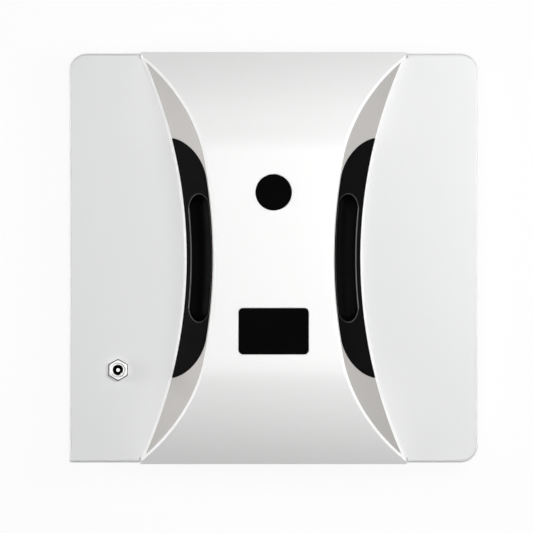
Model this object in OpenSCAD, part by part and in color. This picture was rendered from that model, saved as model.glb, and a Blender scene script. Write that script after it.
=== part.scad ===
// Window cleaning robot: a square body with two low wings, a waisted bridge across
// it with a grip in each side, two belt tracks, a suction fan and a cleaning pad.
// X runs left to right, Y from bottom edge to top edge, Z away from the glass.
// The origin is on the glass, under the middle of the body.

/* [Body] */
// Width of the body, left edge to right edge
body_w = 232; // [224:1:260]
// Length of the body, bottom edge to top edge
body_l = 232; // [228:1:260]
// Air gap between the track frames and the wings' underside
roof_gap = 1.2; // [0.6:0.1:4]
// Wall thickness of the moulded shells
shell_wall = 2.4; // [2:0.1:2.8]
// Radius of the body's three round corners
corner_r = 10; // [7:0.5:14]
// Radius of the tight corner beside the power inlet
tight_corner_r = 1.5; // [1:0.1:4]
// Radius along the shell's top edge
edge_r = 1.5; // [0.8:0.1:2]

/* [Bridge] */
// Rise of the bridge above the wings
bridge_rise = 25; // [24:0.5:30]
// Half length of the flat on top of the bridge
flat_half = 60; // [57:0.5:64]
// Slope at which the ends break away from the flat, in degrees
crease_deg = 3; // [1:0.5:5]
// How far the bridge's end faces stand out past the body
bridge_proud = 0.9; // [0.5:0.1:2]
// Half width of the bridge at its waist, at the wings
waist_half = 51; // [49.5:0.5:53]
// Radius of the waist's curve, seen from above
waist_r = 275; // [250:5:320]
// How far the side walls lean in over the bridge's rise
lean = 18.7; // [16:0.1:19.5]
// Half width of the bridge's end faces
end_half = 75.5; // [72:0.5:80]
// Height of the white rims above and below the side trims
rim_h = 2.2; // [1.4:0.1:2.6]
// Thickness of the bridge's side walls, measured level
side_wall = 3.2; // [2.8:0.1:4]
// Thickness of the side trims and grip plates, measured level
trim_t = 1.6; // [1.2:0.1:2]
// Gap round the panels that are let into the bridge
panel_gap = 0.15; // [0.1:0.05:0.25]
// How far the shell reaches in under the bridge's side walls
ledge_w = 5; // [4.5:0.1:5.6]
// How far the bridge's end faces reach down over the skirt
fascia_drop = 19; // [16:0.5:22]

/* [Exhaust slots] */
// Number of slots in each end face
slot_count = 14; // [6:1:18]
// Width of one slot
slot_w = 2.6; // [1.6:0.1:3.4]
// Length of one slot
slot_l = 11; // [7:0.5:13]
// Distance from slot to slot
slot_pitch = 6; // [5:0.1:7]

/* [Grips] */
// Half length of the straight top of a grip
grip_flat_half = 45; // [42:0.5:48]
// Height of a grip's top as a share of the bridge's rise
grip_top_share = 0.885; // [0.84:0.005:0.9]
// Radius of a grip's round ends
grip_end_r = 23.3; // [22:0.1:25]
// Width of the seat behind a grip's edge
grip_seat = 1; // [0.8:0.1:1.2]
// Radius of the finger scoop's cross-section
scoop_r = 10.2; // [9.6:0.1:10.6]
// How far the scoop's centre line lies outside the wall
scoop_out = 3.6; // [3.2:0.1:4.4]
// Half length of the scoop, between the centres of its ends
scoop_half = 25.4; // [20:0.2:28]
// Radius of the scoop's ends, seen square to the wall
scoop_end_r = 10.7; // [10.6:0.1:11.5]
// Height of the scoop's middle as a share of the bridge's rise
scoop_mid_share = 0.535; // [0.5:0.005:0.55]
// Wall of the pocket behind the scoop
scoop_wall = 1.8; // [1.4:0.1:2]

/* [Window and power button] */
// Width of the display window
window_w = 39.4; // [34:0.2:42]
// Length of the display window
window_l = 26; // [22:0.2:28]
// Corner radius of the display window
window_r = 2.5; // [1:0.1:5]
// Thickness of the display window
window_t = 1.2; // [1:0.1:1.4]
// Distance of the window from the middle of the bridge
window_off = 41.3; // [38:0.1:42]
// Width of the ledge that the window rests on
window_ledge = 1.5; // [1:0.1:2]
// Diameter of the power button
button_d = 20; // [16:0.5:21]
// Distance of the button from the middle of the bridge
button_off = 37; // [30:0.5:42]
// How far the button stands out of the bridge
button_proud = 0.4; // [0.1:0.1:1]
// How far the button travels
button_travel = 0.6; // [0.4:0.1:0.8]
// Gap round the button
button_gap = 0.25; // [0.15:0.05:0.4]
// Width and thickness of the rim that keeps the button in
button_rim = 1.1; // [0.8:0.1:1.3]
// Diameter of the button's stem
stem_d = 5; // [4:0.5:7]

/* [Power inlet] */
// Place of the inlet between the track frame and the left edge, as a share
jack_in_share = 0.35; // [0.3:0.01:0.45]
// Distance of the inlet from the body's bottom edge
jack_in_y = 52.5; // [44:0.5:60]
// Diameter of the inlet's threaded barrel
jack_d = 8; // [7.8:0.1:8.4]
// Diameter of the inlet's bore
jack_bore_d = 6; // [5.5:0.1:6.4]
// Diameter of the inlet's centre pin
jack_pin_d = 2.1; // [1.9:0.1:2.5]
// Width of the inlet's nut across its flats
nut_af = 11; // [10.5:0.1:12]
// Height of the nut
nut_h = 2.4; // [2:0.1:3]
// How far the barrel stands out of the nut
jack_stand = 1.1; // [0.5:0.1:2]
// Diameter of the inlet's body under the shell
jack_body_d = 12; // [11:0.5:13]
// Length of the inlet's body under the shell
jack_body_l = 10; // [8:0.5:13]
// Depth of the inlet's bore
jack_depth = 9; // [7:0.5:11]

/* [Base plate and pad] */
// Thickness of the base plate
base_t = 2.4; // [2:0.1:3]
// Gap between the base plate and the skirt
base_gap = 0.3; // [0.2:0.05:0.5]
// Thickness of the cleaning pad
pad_t = 5; // [4:0.1:5.4]
// How far the pad's outer edge lies inside the body's edge
pad_inset = 6; // [5:0.5:8]
// Gap between the pad and the track frames
pad_gap = 6.8; // [4:0.2:9]
// Radius of the pad's outer corners
pad_corner_r = 16; // [14:0.5:20]
// Air gap left between soft pieces and hard ones
soft_gap = 0.3; // [0.2:0.05:0.4]
// Thickness of the hook strips that hold the pad
hook_t = 0.9; // [0.6:0.1:1.2]
// Width of the hook strips
hook_w = 16; // [12:1:20]
// Thickness of the stiffening ribs
rib_t = 1.2; // [1:0.1:1.6]
// Height of the stiffening ribs
rib_h = 3; // [2:0.5:5]

/* [Tracks] */
// Distance of each track from the middle of the body
track_x = 60; // [59.5:0.1:62]
// Distance between the two wheels of a track
wheel_span = 92; // [84:4:96]
// Number of teeth on the drive sprocket
sprocket_teeth = 16; // [14:1:16]
// Distance from belt tooth to belt tooth
belt_pitch = 4; // [3.8:0.05:4.05]
// Thickness of the belt behind its teeth
belt_back = 1.8; // [1.5:0.1:2.2]
// Height of the belt's teeth
belt_tooth_h = 1.3; // [1:0.1:1.5]
// Width of the belt
belt_w = 18; // [16:0.5:19]
// Thickness of the wheels' flanges
flange_t = 1; // [0.8:0.1:1.4]
// Gap between the wheels and the frame's walls
wheel_gap = 1.2; // [0.8:0.1:1.6]
// Wall thickness of the track frames
frame_wall = 2; // [1.6:0.1:2.4]
// Gap between the belt and the inside of the frame
belt_gap = 1.4; // [1:0.1:2]
// Diameter of the wheels' axles
axle_d = 4; // [3:0.1:4.5]

/* [Drive gears] */
// Module of the gears' teeth
gear_module = 0.8; // [0.76:0.01:0.82]
// Teeth on the final gear
final_teeth = 20; // [18:1:20]
// Teeth on the transfer gear
transfer_teeth = 18; // [17:1:20]
// Teeth on the motor pinion
pinion_teeth = 14; // [14:1:16]
// Width of the gears
gear_w = 5; // [4:0.5:6]
// Slack between meshing teeth, along the pitch circle
backlash = 0.2; // [0.14:0.02:0.3]
// Climb from the final gear to the transfer gear, in degrees
transfer_deg = 12; // [8:1:16]
// Climb from the transfer gear to the pinion, in degrees
pinion_deg = 30; // [26:1:34]
// Gap at the sides and round the tips of the gears
gear_gap = 0.6; // [0.4:0.1:0.9]
// Wall of the gear case and thickness of its cover
case_wall = 1.6; // [1.2:0.1:1.8]
// Diameter of the transfer gear's pin
pin_d = 3; // [2.5:0.1:3.5]
// Diameter of the gear motors' output shafts
motor_shaft_d = 3; // [2.5:0.1:3.5]
// Diameter of the gear motors
motor_d = 20.4; // [18:0.2:20.8]
// Length of the gear motors
motor_l = 31; // [26:1:33]

/* [Fan] */
// Outer diameter of the impeller
impeller_d = 58; // [52:1:60]
// Number of blades
blade_count = 11; // [7:1:15]
// Height of the impeller
impeller_h = 12; // [10:0.5:13]
// Smallest radius of the fan's scroll
scroll_r = 32; // [31.5:0.5:33]
// How far the scroll grows over one turn
scroll_growth = 12; // [9:0.5:12]
// Height of the scroll's inside
scroll_h = 15.4; // [14.5:0.2:16]
// Wall of the scroll
scroll_wall = 1.6; // [1.2:0.1:1.8]
// Length of the scroll's outlet
outlet_l = 42; // [36:1:46]
// Radius of the fan's inlet
inlet_r = 20; // [16:0.5:21]
// Diameter of the fan's shaft
fan_shaft_d = 4; // [3:0.1:5]
// Diameter of the fan motor
fan_motor_d = 32; // [28:1:36]
// Height of the fan motor
fan_motor_h = 16; // [13:0.5:17]

/* [Board, battery and edge feelers] */
// Width of the main board
board_w = 52; // [50:1:54]
// Length of the main board
board_l = 112; // [108:1:114]
// Thickness of the main board
board_t = 1.6; // [1.2:0.1:2]
// Drop from the bridge's ceiling to the main board
board_drop = 6; // [5.6:0.1:6.4]
// Diameter of one battery cell
cell_d = 18.6; // [18:0.1:19.4]
// Length of one battery cell
cell_l = 67; // [65:0.5:69]
// Distance of the edge feelers from the body's edges
feeler_in = 8; // [7.5:0.1:8.5]
// Diameter of the edge feelers
feeler_d = 5; // [4:0.1:5.2]
// How far the edge feelers drop past an edge
feeler_drop = 2.2; // [1.5:0.1:2.6]

/* [Hidden] */
$fn = 72;

// Overrun of a cut past the face it goes through
overrun = 1;
// Radial running clearance of a shaft in its hole
run_fit = 0.05;
// Radial clearance of a piece fixed in its hole
fixed_fit = 0.02;
// Gap left beyond the blind end of a shaft
shaft_end_gap = 1;
// Smallest inner corner radius of the shell
inner_corner_r = 0.6;

// Heights on the underside
base_z = pad_t + soft_gap + hook_t;
base_top = base_z + base_t;

// Wheels, belts and track frames
pitch_r = sprocket_teeth * belt_pitch / (2 * PI);
belt_r = pitch_r + belt_back;
axle_z = belt_r;
drive_y = wheel_span / 2;
well_half_w = belt_w / 2 + flange_t + wheel_gap;
frame_half_w = well_half_w + frame_wall;
frame_half_l = drive_y + belt_r + belt_gap + frame_wall;
frame_top = axle_z + belt_r + belt_gap + frame_wall;
frame_in_x = track_x - frame_half_w;
frame_foot_w = 3;
frame_foot_t = 2;
frame_low_z = 2.6;
frame_cut_gap = 0.3;
rim_over_belt = 0.6;
wheel_web_t = 6;
wheel_hub_r = 4.6;
wheel_rim_t = 2;
tooth_tip_share = 0.32;
tooth_spread_share = 0.12;
tooth_side_gap = 0.2;
tooth_end_gap = 0.25;
idler_gap = 0.15;
belt_side_gap = 0.2;

// Heights of the shell
wing_z = frame_top + roof_gap + shell_wall;
roof_z = wing_z - shell_wall;
crown_z = wing_z + bridge_rise;
ceiling_z = crown_z - shell_wall;

// Bridge outline seen from the side: a flat and an arc at each end
end_y = body_l / 2 + bridge_proud;
arch_run = end_y - flat_half;
arch_r = (pow(arch_run, 2) + pow(bridge_rise, 2))
    / (2 * (bridge_rise * cos(crease_deg) - arch_run * sin(crease_deg)));
arch_y = flat_half - arch_r * sin(crease_deg);
arch_z = bridge_rise - arch_r * cos(crease_deg);
function arch_joint(in) =
    arch_y + sqrt(pow(arch_r - in, 2) - pow(bridge_rise - in - arch_z, 2));
waist_x = waist_half + waist_r;
lean_slope = lean / bridge_rise;
lean_deg = atan(lean_slope);
fascia_t = shell_wall + base_gap;
fascia_z = wing_z - fascia_drop;
fascia_step = 0.1;
opening_half_l = 88;
arc_facets = 180;
waist_facets = 360;
soft_facets = 32;

// Grips
scoop_h = bridge_rise * scoop_mid_share;
scoop_wall_x = waist_half - scoop_h * lean_slope;
scoop_x = scoop_wall_x + scoop_out * cos(lean_deg);
scoop_z = wing_z + scoop_h + scoop_out * sin(lean_deg);
scoop_path_r = waist_x - scoop_x;
scoop_deg = asin((scoop_half + 2 * scoop_end_r) / scoop_path_r);
grip_top = bridge_rise * grip_top_share;

// Main board and what stands on it
board_top = ceiling_z - board_drop;
board_z = board_top - board_t;
board_y = -5;
post_in = 3.5;
post_r = 3;
post_hole_r = 1.1;
post_hole_l = 5;
switch_w = 6;
switch_h = 3.4;
plunger_d = 3.5;
plunger_up = 0.6;
plunger_down = 1.6;
plunger_z = board_top + switch_h + plunger_up;
rim_top = ceiling_z - button_gap;

// Power inlet
jack_x = -track_x - frame_half_w
    - jack_in_share * (body_w / 2 - track_x - frame_half_w);
jack_y = -body_l / 2 + jack_in_y;
jack_top = wing_z + nut_h + jack_stand;
jack_low = roof_z - jack_body_l;
jack_floor = jack_top - jack_depth;
pin_under_mouth = 1;
pin_tail_l = 3;
pin_tail_share = 0.7;
pin_tail_d = jack_pin_d * pin_tail_share;

// Gears: centres seen from the side, as [y, z]
final_at = [drive_y, axle_z];
transfer_at = final_at + gear_module * (final_teeth + transfer_teeth) / 2
    * [cos(transfer_deg), sin(transfer_deg)];
pinion_at = transfer_at + gear_module * (transfer_teeth + pinion_teeth) / 2
    * [cos(pinion_deg), sin(pinion_deg)];
addendum_share = 0.8;
dedendum_share = 1.15;
addendum = gear_module * addendum_share;
dedendum = gear_module * dedendum_share;
case_depth = gear_w + 3 * gear_gap + case_wall;
chamber_x = frame_in_x - case_depth;
cover_x = chamber_x - case_wall;
gear_x = frame_in_x - gear_gap - gear_w;
gears = [[final_at, final_teeth], [transfer_at, transfer_teeth], [pinion_at, pinion_teeth]];
function tip_r(teeth) = gear_module * teeth / 2 + addendum;
pressure_deg = 20;
flank_steps = 4;
motor_bore = 8;
motor_boss_d = 2 * motor_shaft_d;

// Fan
scroll_floor_z = base_top;
scroll_top = scroll_floor_z + scroll_wall + scroll_h;
fan_cover_top = scroll_top + scroll_wall;
impeller_z = scroll_floor_z + scroll_wall + (scroll_h - impeller_h) / 2;
impeller_top = impeller_z + impeller_h;
scroll_steps = 36;
blade_steps = 6;
blade_t = 1.1;
blade_sweep_deg = 52;
blade_in_r = 14;
blade_rim_gap = 0.6;
blade_out_r = impeller_d / 2 - blade_rim_gap;
disc_t = 1;
hub_r = 6;
fan_bore_up = 13;
grille_lip = 2.8;
grille_t = 1.3;
grille_gap = 0.15;
grille_bar = 1.6;
grille_spokes = 6;
grille_ring_step = 5;

// Battery
battery_gap = 6;
battery_end_gap = 5.5;
strap_gap = 0.5;
battery_w = cell_l + 2 * strap_gap;
battery_top = base_top + cell_d;
strap_t = 1.2;
strap_w = 14;
strap_foot = 8;
battery_end = body_l / 2 - fascia_t - battery_end_gap;
cell_count = floor((battery_end - scroll_r - scroll_growth - battery_gap) / cell_d);
battery_l = cell_count * cell_d;
battery_y = battery_l / 2 - battery_end;

// Screws
screw_r = 1.5;
screw_head_r = 2.8;
screw_head_h = 1.4;
screw_bite = 7;
screw_tip_gap = 1;
board_screw_head_r = 2.2;
board_screw_head_h = 1.1;
screw_post_r = 4;
screw_in_x = 16;
screw_in_y = 31;
shell_screw_at = [for (sx = [-1, 1], sy = [-1, 0, 1])
    [sx * (body_w / 2 - screw_in_x), sy * (body_l / 2 - screw_in_y)]];
bridge_screw_x = 50;
bridge_screw_in = 16;
bridge_screw_at = [for (sx = [-1, 1], sy = [-1, 1])
    [sx * bridge_screw_x, sy * (body_l / 2 - bridge_screw_in)]];
board_screw_at = [for (sx = [-1, 1], sy = [-1, 1])
    [sx * (board_w / 2 - post_in), board_y + sy * (board_l / 2 - post_in)]];

// Edge feelers
feeler_tip_z = 0.3;
feeler_collar_r = 4;
feeler_collar_h = 2;
feeler_stem_l = 7;
feeler_top = base_top + feeler_drop + feeler_collar_h + feeler_stem_l;
edge_switch_w = 6;
edge_switch_h = 5;
edge_plunger_r = 1.2;
edge_plunger_h = 1;
feeler_x = body_w / 2 - feeler_in;
feeler_y = body_l / 2 - feeler_in;

white_plastic = "#f3f3f1";
silver_plastic = "#bcb7b3";
black_plastic = "#1a1a1b";
grey_plastic = "#6f7276";
steel = "#b9bcc0";
brass = "#c9a653";
rubber = "#2b2b2c";

// A rectangle with four corner radii, counted round from bottom left
module round_box_2d(w, l, radii) {
    corners = [[-1, -1], [1, -1], [1, 1], [-1, 1]];
    polygon([for (i = [0:3]) let (c = corners[i], r = radii[i],
        x = c[0] * w / 2, y = c[1] * l / 2, turn = c[0] * c[1] > 0)
        for (first = turn ? [true, false] : [false, true])
            first ? [x, y - c[1] * r] : [x - c[0] * r, y]]);
    for (i = [0:3]) {
        c = corners[i];
        r = radii[i];
        translate([c[0] * (w / 2 - r), c[1] * (l / 2 - r)])
            intersection() {
                circle(r);
                translate([c[0] < 0 ? -2 * r : 0, c[1] < 0 ? -2 * r : 0])
                    square(2 * r);
            }
    }
}

function same_corners(r) = [r, r, r, r];

// The body's plan, drawn in by a distance
module body_2d(in) {
    round_r = corner_r - in;
    tight_r = max(tight_corner_r - in, inner_corner_r);
    round_box_2d(body_w - 2 * in, body_l - 2 * in, [tight_r, round_r, round_r, round_r]);
}

// A straight slot with round ends, lying along X
module stadium_2d(span, r) {
    square([span, 2 * r], center = true);
    for (s = [-1, 1])
        translate([s * span / 2, 0])
            intersection() {
                circle(r);
                translate([s < 0 ? -2 * r : 0, -2 * r]) square([2 * r, 4 * r]);
            }
}

// Turns a drawing of [y, z] into a slab that runs from one x to another
module slab_x(from, to) {
    translate([from, 0, 0]) rotate([90, 0, 90]) linear_extrude(to - from) children();
}

// Side view of the bridge above the wings, drawn in by a distance
module arch_2d(in, foot = 0) {
    flat = arch_joint(in) - overrun;
    high = bridge_rise - in - foot;
    translate([-flat, foot]) square([2 * flat, high]);
    for (s = [-1, 1])
        intersection() {
            translate([s * arch_y, arch_z]) circle(arch_r - in, $fn = arc_facets);
            translate([s < 0 ? -flat - arch_r : flat - overrun, foot])
                square([arch_r + overrun, high]);
        }
}

module arch_slab(in, foot = 0) {
    translate([0, 0, wing_z]) slab_x(-end_half - in, end_half + in) arch_2d(in, foot);
}

// The leaning, waisted surface of the right side wall, moved in by a distance
module waist_cone(in) {
    translate([waist_x, 0, wing_z - overrun])
        cylinder(
            h = bridge_rise + 2 * overrun,
            r1 = waist_r - overrun * lean_slope + in,
            r2 = waist_r + (bridge_rise + overrun) * lean_slope + in,
            $fn = waist_facets);
}

// The bridge as a solid, drawn in by a roof and a side thickness
module bridge_form(roof, side, foot = 0) {
    difference() {
        intersection() {
            arch_slab(roof, foot);
            translate([-end_half + side, -body_l, wing_z])
                cube([2 * (end_half - side), 2 * body_l, bridge_rise]);
        }
        for (s = [0, 1]) mirror([s, 0, 0]) waist_cone(side);
    }
}

// The layer of the right side wall between two depths
module wall_layer(outer, inner) {
    intersection() {
        difference() {
            translate([0, -body_l / 2, wing_z])
                cube([end_half, body_l, bridge_rise]);
            waist_cone(outer);
        }
        waist_cone(inner);
    }
}

// Side view of the grip, drawn in at its top and ends
module grip_2d(in, foot) {
    top = grip_top - in;
    r = grip_end_r - in;
    translate([-grip_flat_half, foot]) square([2 * grip_flat_half, top - foot]);
    for (s = [-1, 1])
        intersection() {
            translate([s * grip_flat_half, grip_top - grip_end_r]) circle(r, $fn = arc_facets);
            translate([s < 0 ? -grip_flat_half - 2 * r : grip_flat_half, foot])
                square([2 * r, 2 * r]);
        }
}

module grip_slab(in, foot) {
    translate([0, 0, wing_z]) slab_x(0, end_half) grip_2d(in, foot);
}

// The finger scoop of the right grip: a bar bent with the wall, with round ends
module scoop_bar(r, end_r) {
    intersection() {
        translate([waist_x, 0, scoop_z])
            rotate([0, 0, 180 - scoop_deg])
                rotate_extrude(angle = 2 * scoop_deg) translate([scoop_path_r, 0]) circle(r);
        translate([scoop_wall_x, 0, wing_z + scoop_h])
            rotate([0, 90 - lean_deg, 0])
                linear_extrude(4 * scoop_r, center = true)
                    rotate([0, 0, 90]) stadium_2d(2 * scoop_half, end_r);
    }
}

// Slots of an end face, seen from the side that they go through
module exhaust_slots() {
    middle = fascia_z + (fascia_drop - shell_wall) / 2;
    for (i = [0:slot_count - 1])
        translate([(i - (slot_count - 1) / 2) * slot_pitch, 0, middle])
            rotate([90, 90, 0])
                linear_extrude(2 * end_y + 2 * overrun, center = true)
                    stadium_2d(slot_l - slot_w, slot_w / 2);
}

// One corner of the shell's outer form, with its rounded top edge
module shell_corner(r) {
    er = min(edge_r, r);
    translate([0, 0, base_z]) cylinder(h = roof_z - base_z, r = r, $fn = soft_facets);
    translate([0, 0, wing_z - er])
        rotate_extrude($fn = soft_facets)
            intersection() {
                translate([r - er, 0]) circle(er, $fn = soft_facets);
                translate([0, -er]) square([2 * r, 2 * er]);
            }
}

module shell_block() {
    corners = [[-1, -1, tight_corner_r], [1, -1, corner_r], [1, 1, corner_r], [-1, 1, corner_r]];
    hull()
        for (c = corners)
            translate([c[0] * (body_w / 2 - c[2]), c[1] * (body_l / 2 - c[2]), 0])
                shell_corner(c[2]);
}

// Plan of the hole in the shell under the bridge
module bridge_hole_2d() {
    difference() {
        square([2 * waist_x, 2 * opening_half_l], center = true);
        for (s = [-1, 1]) translate([s * waist_x, 0]) circle(waist_r + ledge_w, $fn = waist_facets);
    }
}

module top_shell() {
    color(white_plastic) {
        difference() {
            shell_block();
            translate([0, 0, base_z - overrun])
                linear_extrude(roof_z - base_z + overrun) body_2d(shell_wall);
            translate([0, 0, roof_z - overrun])
                linear_extrude(shell_wall + 2 * overrun) bridge_hole_2d();
            for (s = [-1, 1])
                translate([
                    -end_half - base_gap,
                    s * body_l / 2 - (s > 0 ? shell_wall : overrun),
                    fascia_z - base_gap])
                    cube([
                        2 * (end_half + base_gap), shell_wall + overrun,
                        fascia_drop + base_gap + overrun]);
            translate([jack_x, jack_y, roof_z - overrun])
                cylinder(h = shell_wall + 2 * overrun, d = jack_d + 2 * run_fit);
            for (p = bridge_screw_at)
                translate([p[0], p[1], roof_z - overrun])
                    cylinder(h = shell_wall + 2 * overrun, r = screw_r + run_fit);
        }
        for (p = shell_screw_at)
            translate([p[0], p[1], base_top])
                difference() {
                    cylinder(h = roof_z - base_top, r = screw_post_r);
                    translate([0, 0, -overrun])
                        cylinder(h = screw_bite + overrun, r = screw_r + fixed_fit);
                }
        for (sx = [-1, 1], sy = [-1, 1])
            translate([
                sx * feeler_x - edge_switch_w / 2, sy * feeler_y - edge_switch_w / 2,
                feeler_top + edge_plunger_h + edge_switch_h])
                cube([
                    edge_switch_w, edge_switch_w,
                    roof_z - feeler_top - edge_plunger_h - edge_switch_h]);
    }
}

module bridge_cover() {
    color(white_plastic) {
        difference() {
            bridge_form(0, 0);
            bridge_form(shell_wall, side_wall, -overrun);
            for (s = [0, 1]) mirror([s, 0, 0]) {
                intersection() {
                    wall_layer(-overrun, trim_t);
                    arch_slab(rim_h, rim_h);
                }
                grip_slab(grip_seat, rim_h);
            }
            translate([0, -window_off, crown_z - window_t])
                linear_extrude(window_t + overrun)
                    round_box_2d(
                        window_w + 2 * panel_gap, window_l + 2 * panel_gap,
                        same_corners(window_r + panel_gap));
            translate([0, -window_off, ceiling_z - overrun])
                linear_extrude(shell_wall + 2 * overrun)
                    round_box_2d(
                        window_w - 2 * window_ledge, window_l - 2 * window_ledge,
                        same_corners(window_r));
            translate([0, button_off, ceiling_z - overrun])
                cylinder(h = shell_wall + 2 * overrun, d = button_d + 2 * button_gap);
        }
        for (s = [-1, 1])
            difference() {
                translate([
                    -end_half, s > 0 ? end_y - fascia_t : fascia_step - end_y, fascia_z])
                    cube([2 * end_half, fascia_t - fascia_step, fascia_drop]);
                exhaust_slots();
            }
        for (p = board_screw_at)
            translate([p[0], p[1], board_top])
                difference() {
                    cylinder(h = board_drop, r = post_r);
                    translate([0, 0, -overrun])
                        cylinder(h = post_hole_l + overrun, r = post_hole_r + fixed_fit);
                }
        for (p = bridge_screw_at)
            difference() {
                intersection() {
                    translate([p[0], p[1], wing_z]) cylinder(h = bridge_rise, r = screw_post_r);
                    bridge_form(shell_wall / 2, side_wall / 2);
                }
                translate([p[0], p[1], wing_z - overrun])
                    cylinder(h = screw_bite + overrun, r = screw_r + fixed_fit);
            }
    }
}

module side_trim() {
    color(silver_plastic)
        difference() {
            intersection() {
                wall_layer(0, trim_t);
                arch_slab(rim_h + panel_gap, rim_h + panel_gap);
            }
            grip_slab(0, rim_h);
        }
}

module grip_insert() {
    color(black_plastic)
        difference() {
            union() {
                intersection() {
                    wall_layer(0, trim_t);
                    grip_slab(panel_gap, rim_h + panel_gap);
                }
                intersection() {
                    wall_layer(trim_t, side_wall);
                    grip_slab(grip_seat + panel_gap, rim_h + panel_gap);
                }
                difference() {
                    scoop_bar(scoop_r + scoop_wall, scoop_end_r + scoop_wall);
                    waist_cone(side_wall);
                    translate([0, -body_l / 2, ceiling_z])
                        cube([end_half, body_l, bridge_rise]);
                }
            }
            scoop_bar(scoop_r, scoop_end_r);
        }
}

module left_side_trim() mirror([1, 0, 0]) side_trim();
module right_side_trim() side_trim();
module left_grip_insert() mirror([1, 0, 0]) grip_insert();
module right_grip_insert() grip_insert();

module display_window() {
    color(black_plastic)
        translate([0, -window_off, crown_z - window_t])
            linear_extrude(window_t)
                round_box_2d(window_w, window_l, same_corners(window_r));
}

module power_button() {
    color(black_plastic)
        translate([0, button_off, 0]) {
            translate([0, 0, rim_top - button_rim])
                cylinder(h = crown_z + button_proud - rim_top + button_rim, d = button_d);
            translate([0, 0, rim_top - button_rim])
                cylinder(h = button_rim, d = button_d + 2 * button_gap + 2 * button_rim);
            translate([0, 0, plunger_z])
                cylinder(h = rim_top - button_rim - plunger_z, d = stem_d);
        }
}

module switch_plunger() {
    color(black_plastic)
        translate([0, button_off, plunger_z - plunger_up - plunger_down])
            cylinder(h = plunger_up + plunger_down, d = plunger_d);
}

module tact_switch() {
    color(grey_plastic)
        translate([0, button_off, board_top])
            difference() {
                translate([-switch_w / 2, -switch_w / 2, 0])
                    cube([switch_w, switch_w, switch_h]);
                translate([0, 0, switch_h - plunger_down - button_travel - run_fit])
                    cylinder(h = switch_h, d = plunger_d + 2 * run_fit);
            }
}

module jack_barrel() {
    color(steel)
        translate([jack_x, jack_y, 0])
            difference() {
                union() {
                    translate([0, 0, jack_low]) cylinder(h = roof_z - jack_low, d = jack_body_d);
                    translate([0, 0, roof_z]) cylinder(h = jack_top - roof_z, d = jack_d);
                }
                translate([0, 0, jack_low - overrun])
                    cylinder(h = jack_top - jack_low + 2 * overrun, d = jack_bore_d);
            }
}

module jack_nut() {
    color(steel)
        translate([jack_x, jack_y, wing_z])
            difference() {
                rotate([0, 0, 90]) cylinder(h = nut_h, d = nut_af / cos(30), $fn = 6);
                translate([0, 0, -overrun])
                    cylinder(h = nut_h + 2 * overrun, d = jack_d + 2 * fixed_fit);
            }
}

module jack_insulator() {
    color(black_plastic)
        translate([jack_x, jack_y, 0])
            difference() {
                union() {
                    translate([0, 0, jack_low])
                        cylinder(h = jack_floor - jack_low, d = jack_bore_d - 2 * fixed_fit);
                    translate([0, 0, jack_low - case_wall])
                        cylinder(h = case_wall, d = jack_body_d);
                }
                translate([0, 0, jack_low - case_wall - overrun])
                    cylinder(h = jack_body_l + jack_depth, d = pin_tail_d + 2 * fixed_fit);
            }
}

module jack_pin() {
    tail_z = jack_low - case_wall - pin_tail_l;
    color(steel)
        translate([jack_x, jack_y, 0]) {
            translate([0, 0, jack_floor])
                cylinder(h = jack_top - pin_under_mouth - jack_floor, d = jack_pin_d);
            translate([0, 0, tail_z]) cylinder(h = jack_floor - tail_z, d = pin_tail_d);
        }
}

module main_board() {
    color("#1f6b45")
        translate([0, board_y, board_z])
            difference() {
                linear_extrude(board_t) round_box_2d(board_w, board_l, same_corners(post_r));
                for (p = board_screw_at)
                    translate([p[0], p[1] - board_y, -overrun])
                        cylinder(h = board_t + 2 * overrun, r = post_hole_r + run_fit);
            }
}

// Parts on the board: middle x and width as shares of the board's width, middle y and
// length as shares of its length, and the height as a share of the tallest part's
display_w_share = 0.65;
display_l_share = 0.19;
display_h_share = 0.8;
board_part_h = 5;
board_block_shares = [
    [-0.23, -0.125, 0.23, 0.107, 0.28], [0.19, -0.09, 0.17, 0.08, 0.24],
    [0.27, 0.107, 0.19, 0.054, 0.92], [-0.31, 0.071, 0.115, 0.125, 1],
    [-0.27, 0.286, 0.154, 0.09, 0.48], [0.29, 0.304, 0.135, 0.063, 0.6]];
can_r_share = 0.077;
can_at_shares = [[-0.04, 0.054], [0.15, 0.196]];

module board_block(x, y, w, l, h) {
    translate([x - w / 2, y - l / 2, board_top]) cube([w, l, h]);
}

module board_parts() {
    color(black_plastic) {
        board_block(
            0, -window_off, board_w * display_w_share, board_l * display_l_share,
            board_part_h * display_h_share);
        for (b = board_block_shares)
            board_block(
                b[0] * board_w, b[1] * board_l, b[2] * board_w, b[3] * board_l,
                b[4] * board_part_h);
        for (c = can_at_shares)
            translate([c[0] * board_w, c[1] * board_l, board_top])
                cylinder(h = board_part_h, r = board_w * can_r_share);
    }
}

module battery_pack() {
    color("#2c5f9e")
        translate([-cell_l / 2, battery_y, base_top + cell_d / 2])
            rotate([90, 0, 90])
                linear_extrude(cell_l) stadium_2d(battery_l - cell_d, cell_d / 2);
}

module battery_strap() {
    color(grey_plastic)
        translate([0, battery_y + strap_w / 2, 0])
            rotate([90, 0, 0])
                linear_extrude(strap_w)
                    difference() {
                        half = battery_w / 2;
                        translate([-half - strap_foot, base_top])
                            square([2 * (half + strap_foot), cell_d + strap_t]);
                        translate([-half, base_top - overrun]) square([2 * half, cell_d + overrun]);
                        for (s = [-1, 1])
                            translate([
                                s > 0 ? half + strap_t : -half - strap_foot - overrun,
                                base_top + strap_t])
                                square([strap_foot - strap_t + overrun, cell_d + overrun]);
                    }
}

// Points of the scroll's spiral, grown outward by a distance
function scroll_points(out) = [for (i = [0:scroll_steps])
    let (turn = i / scroll_steps, r = scroll_r + scroll_growth * turn + out)
    r * [cos(360 * turn), sin(360 * turn)]];

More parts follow.
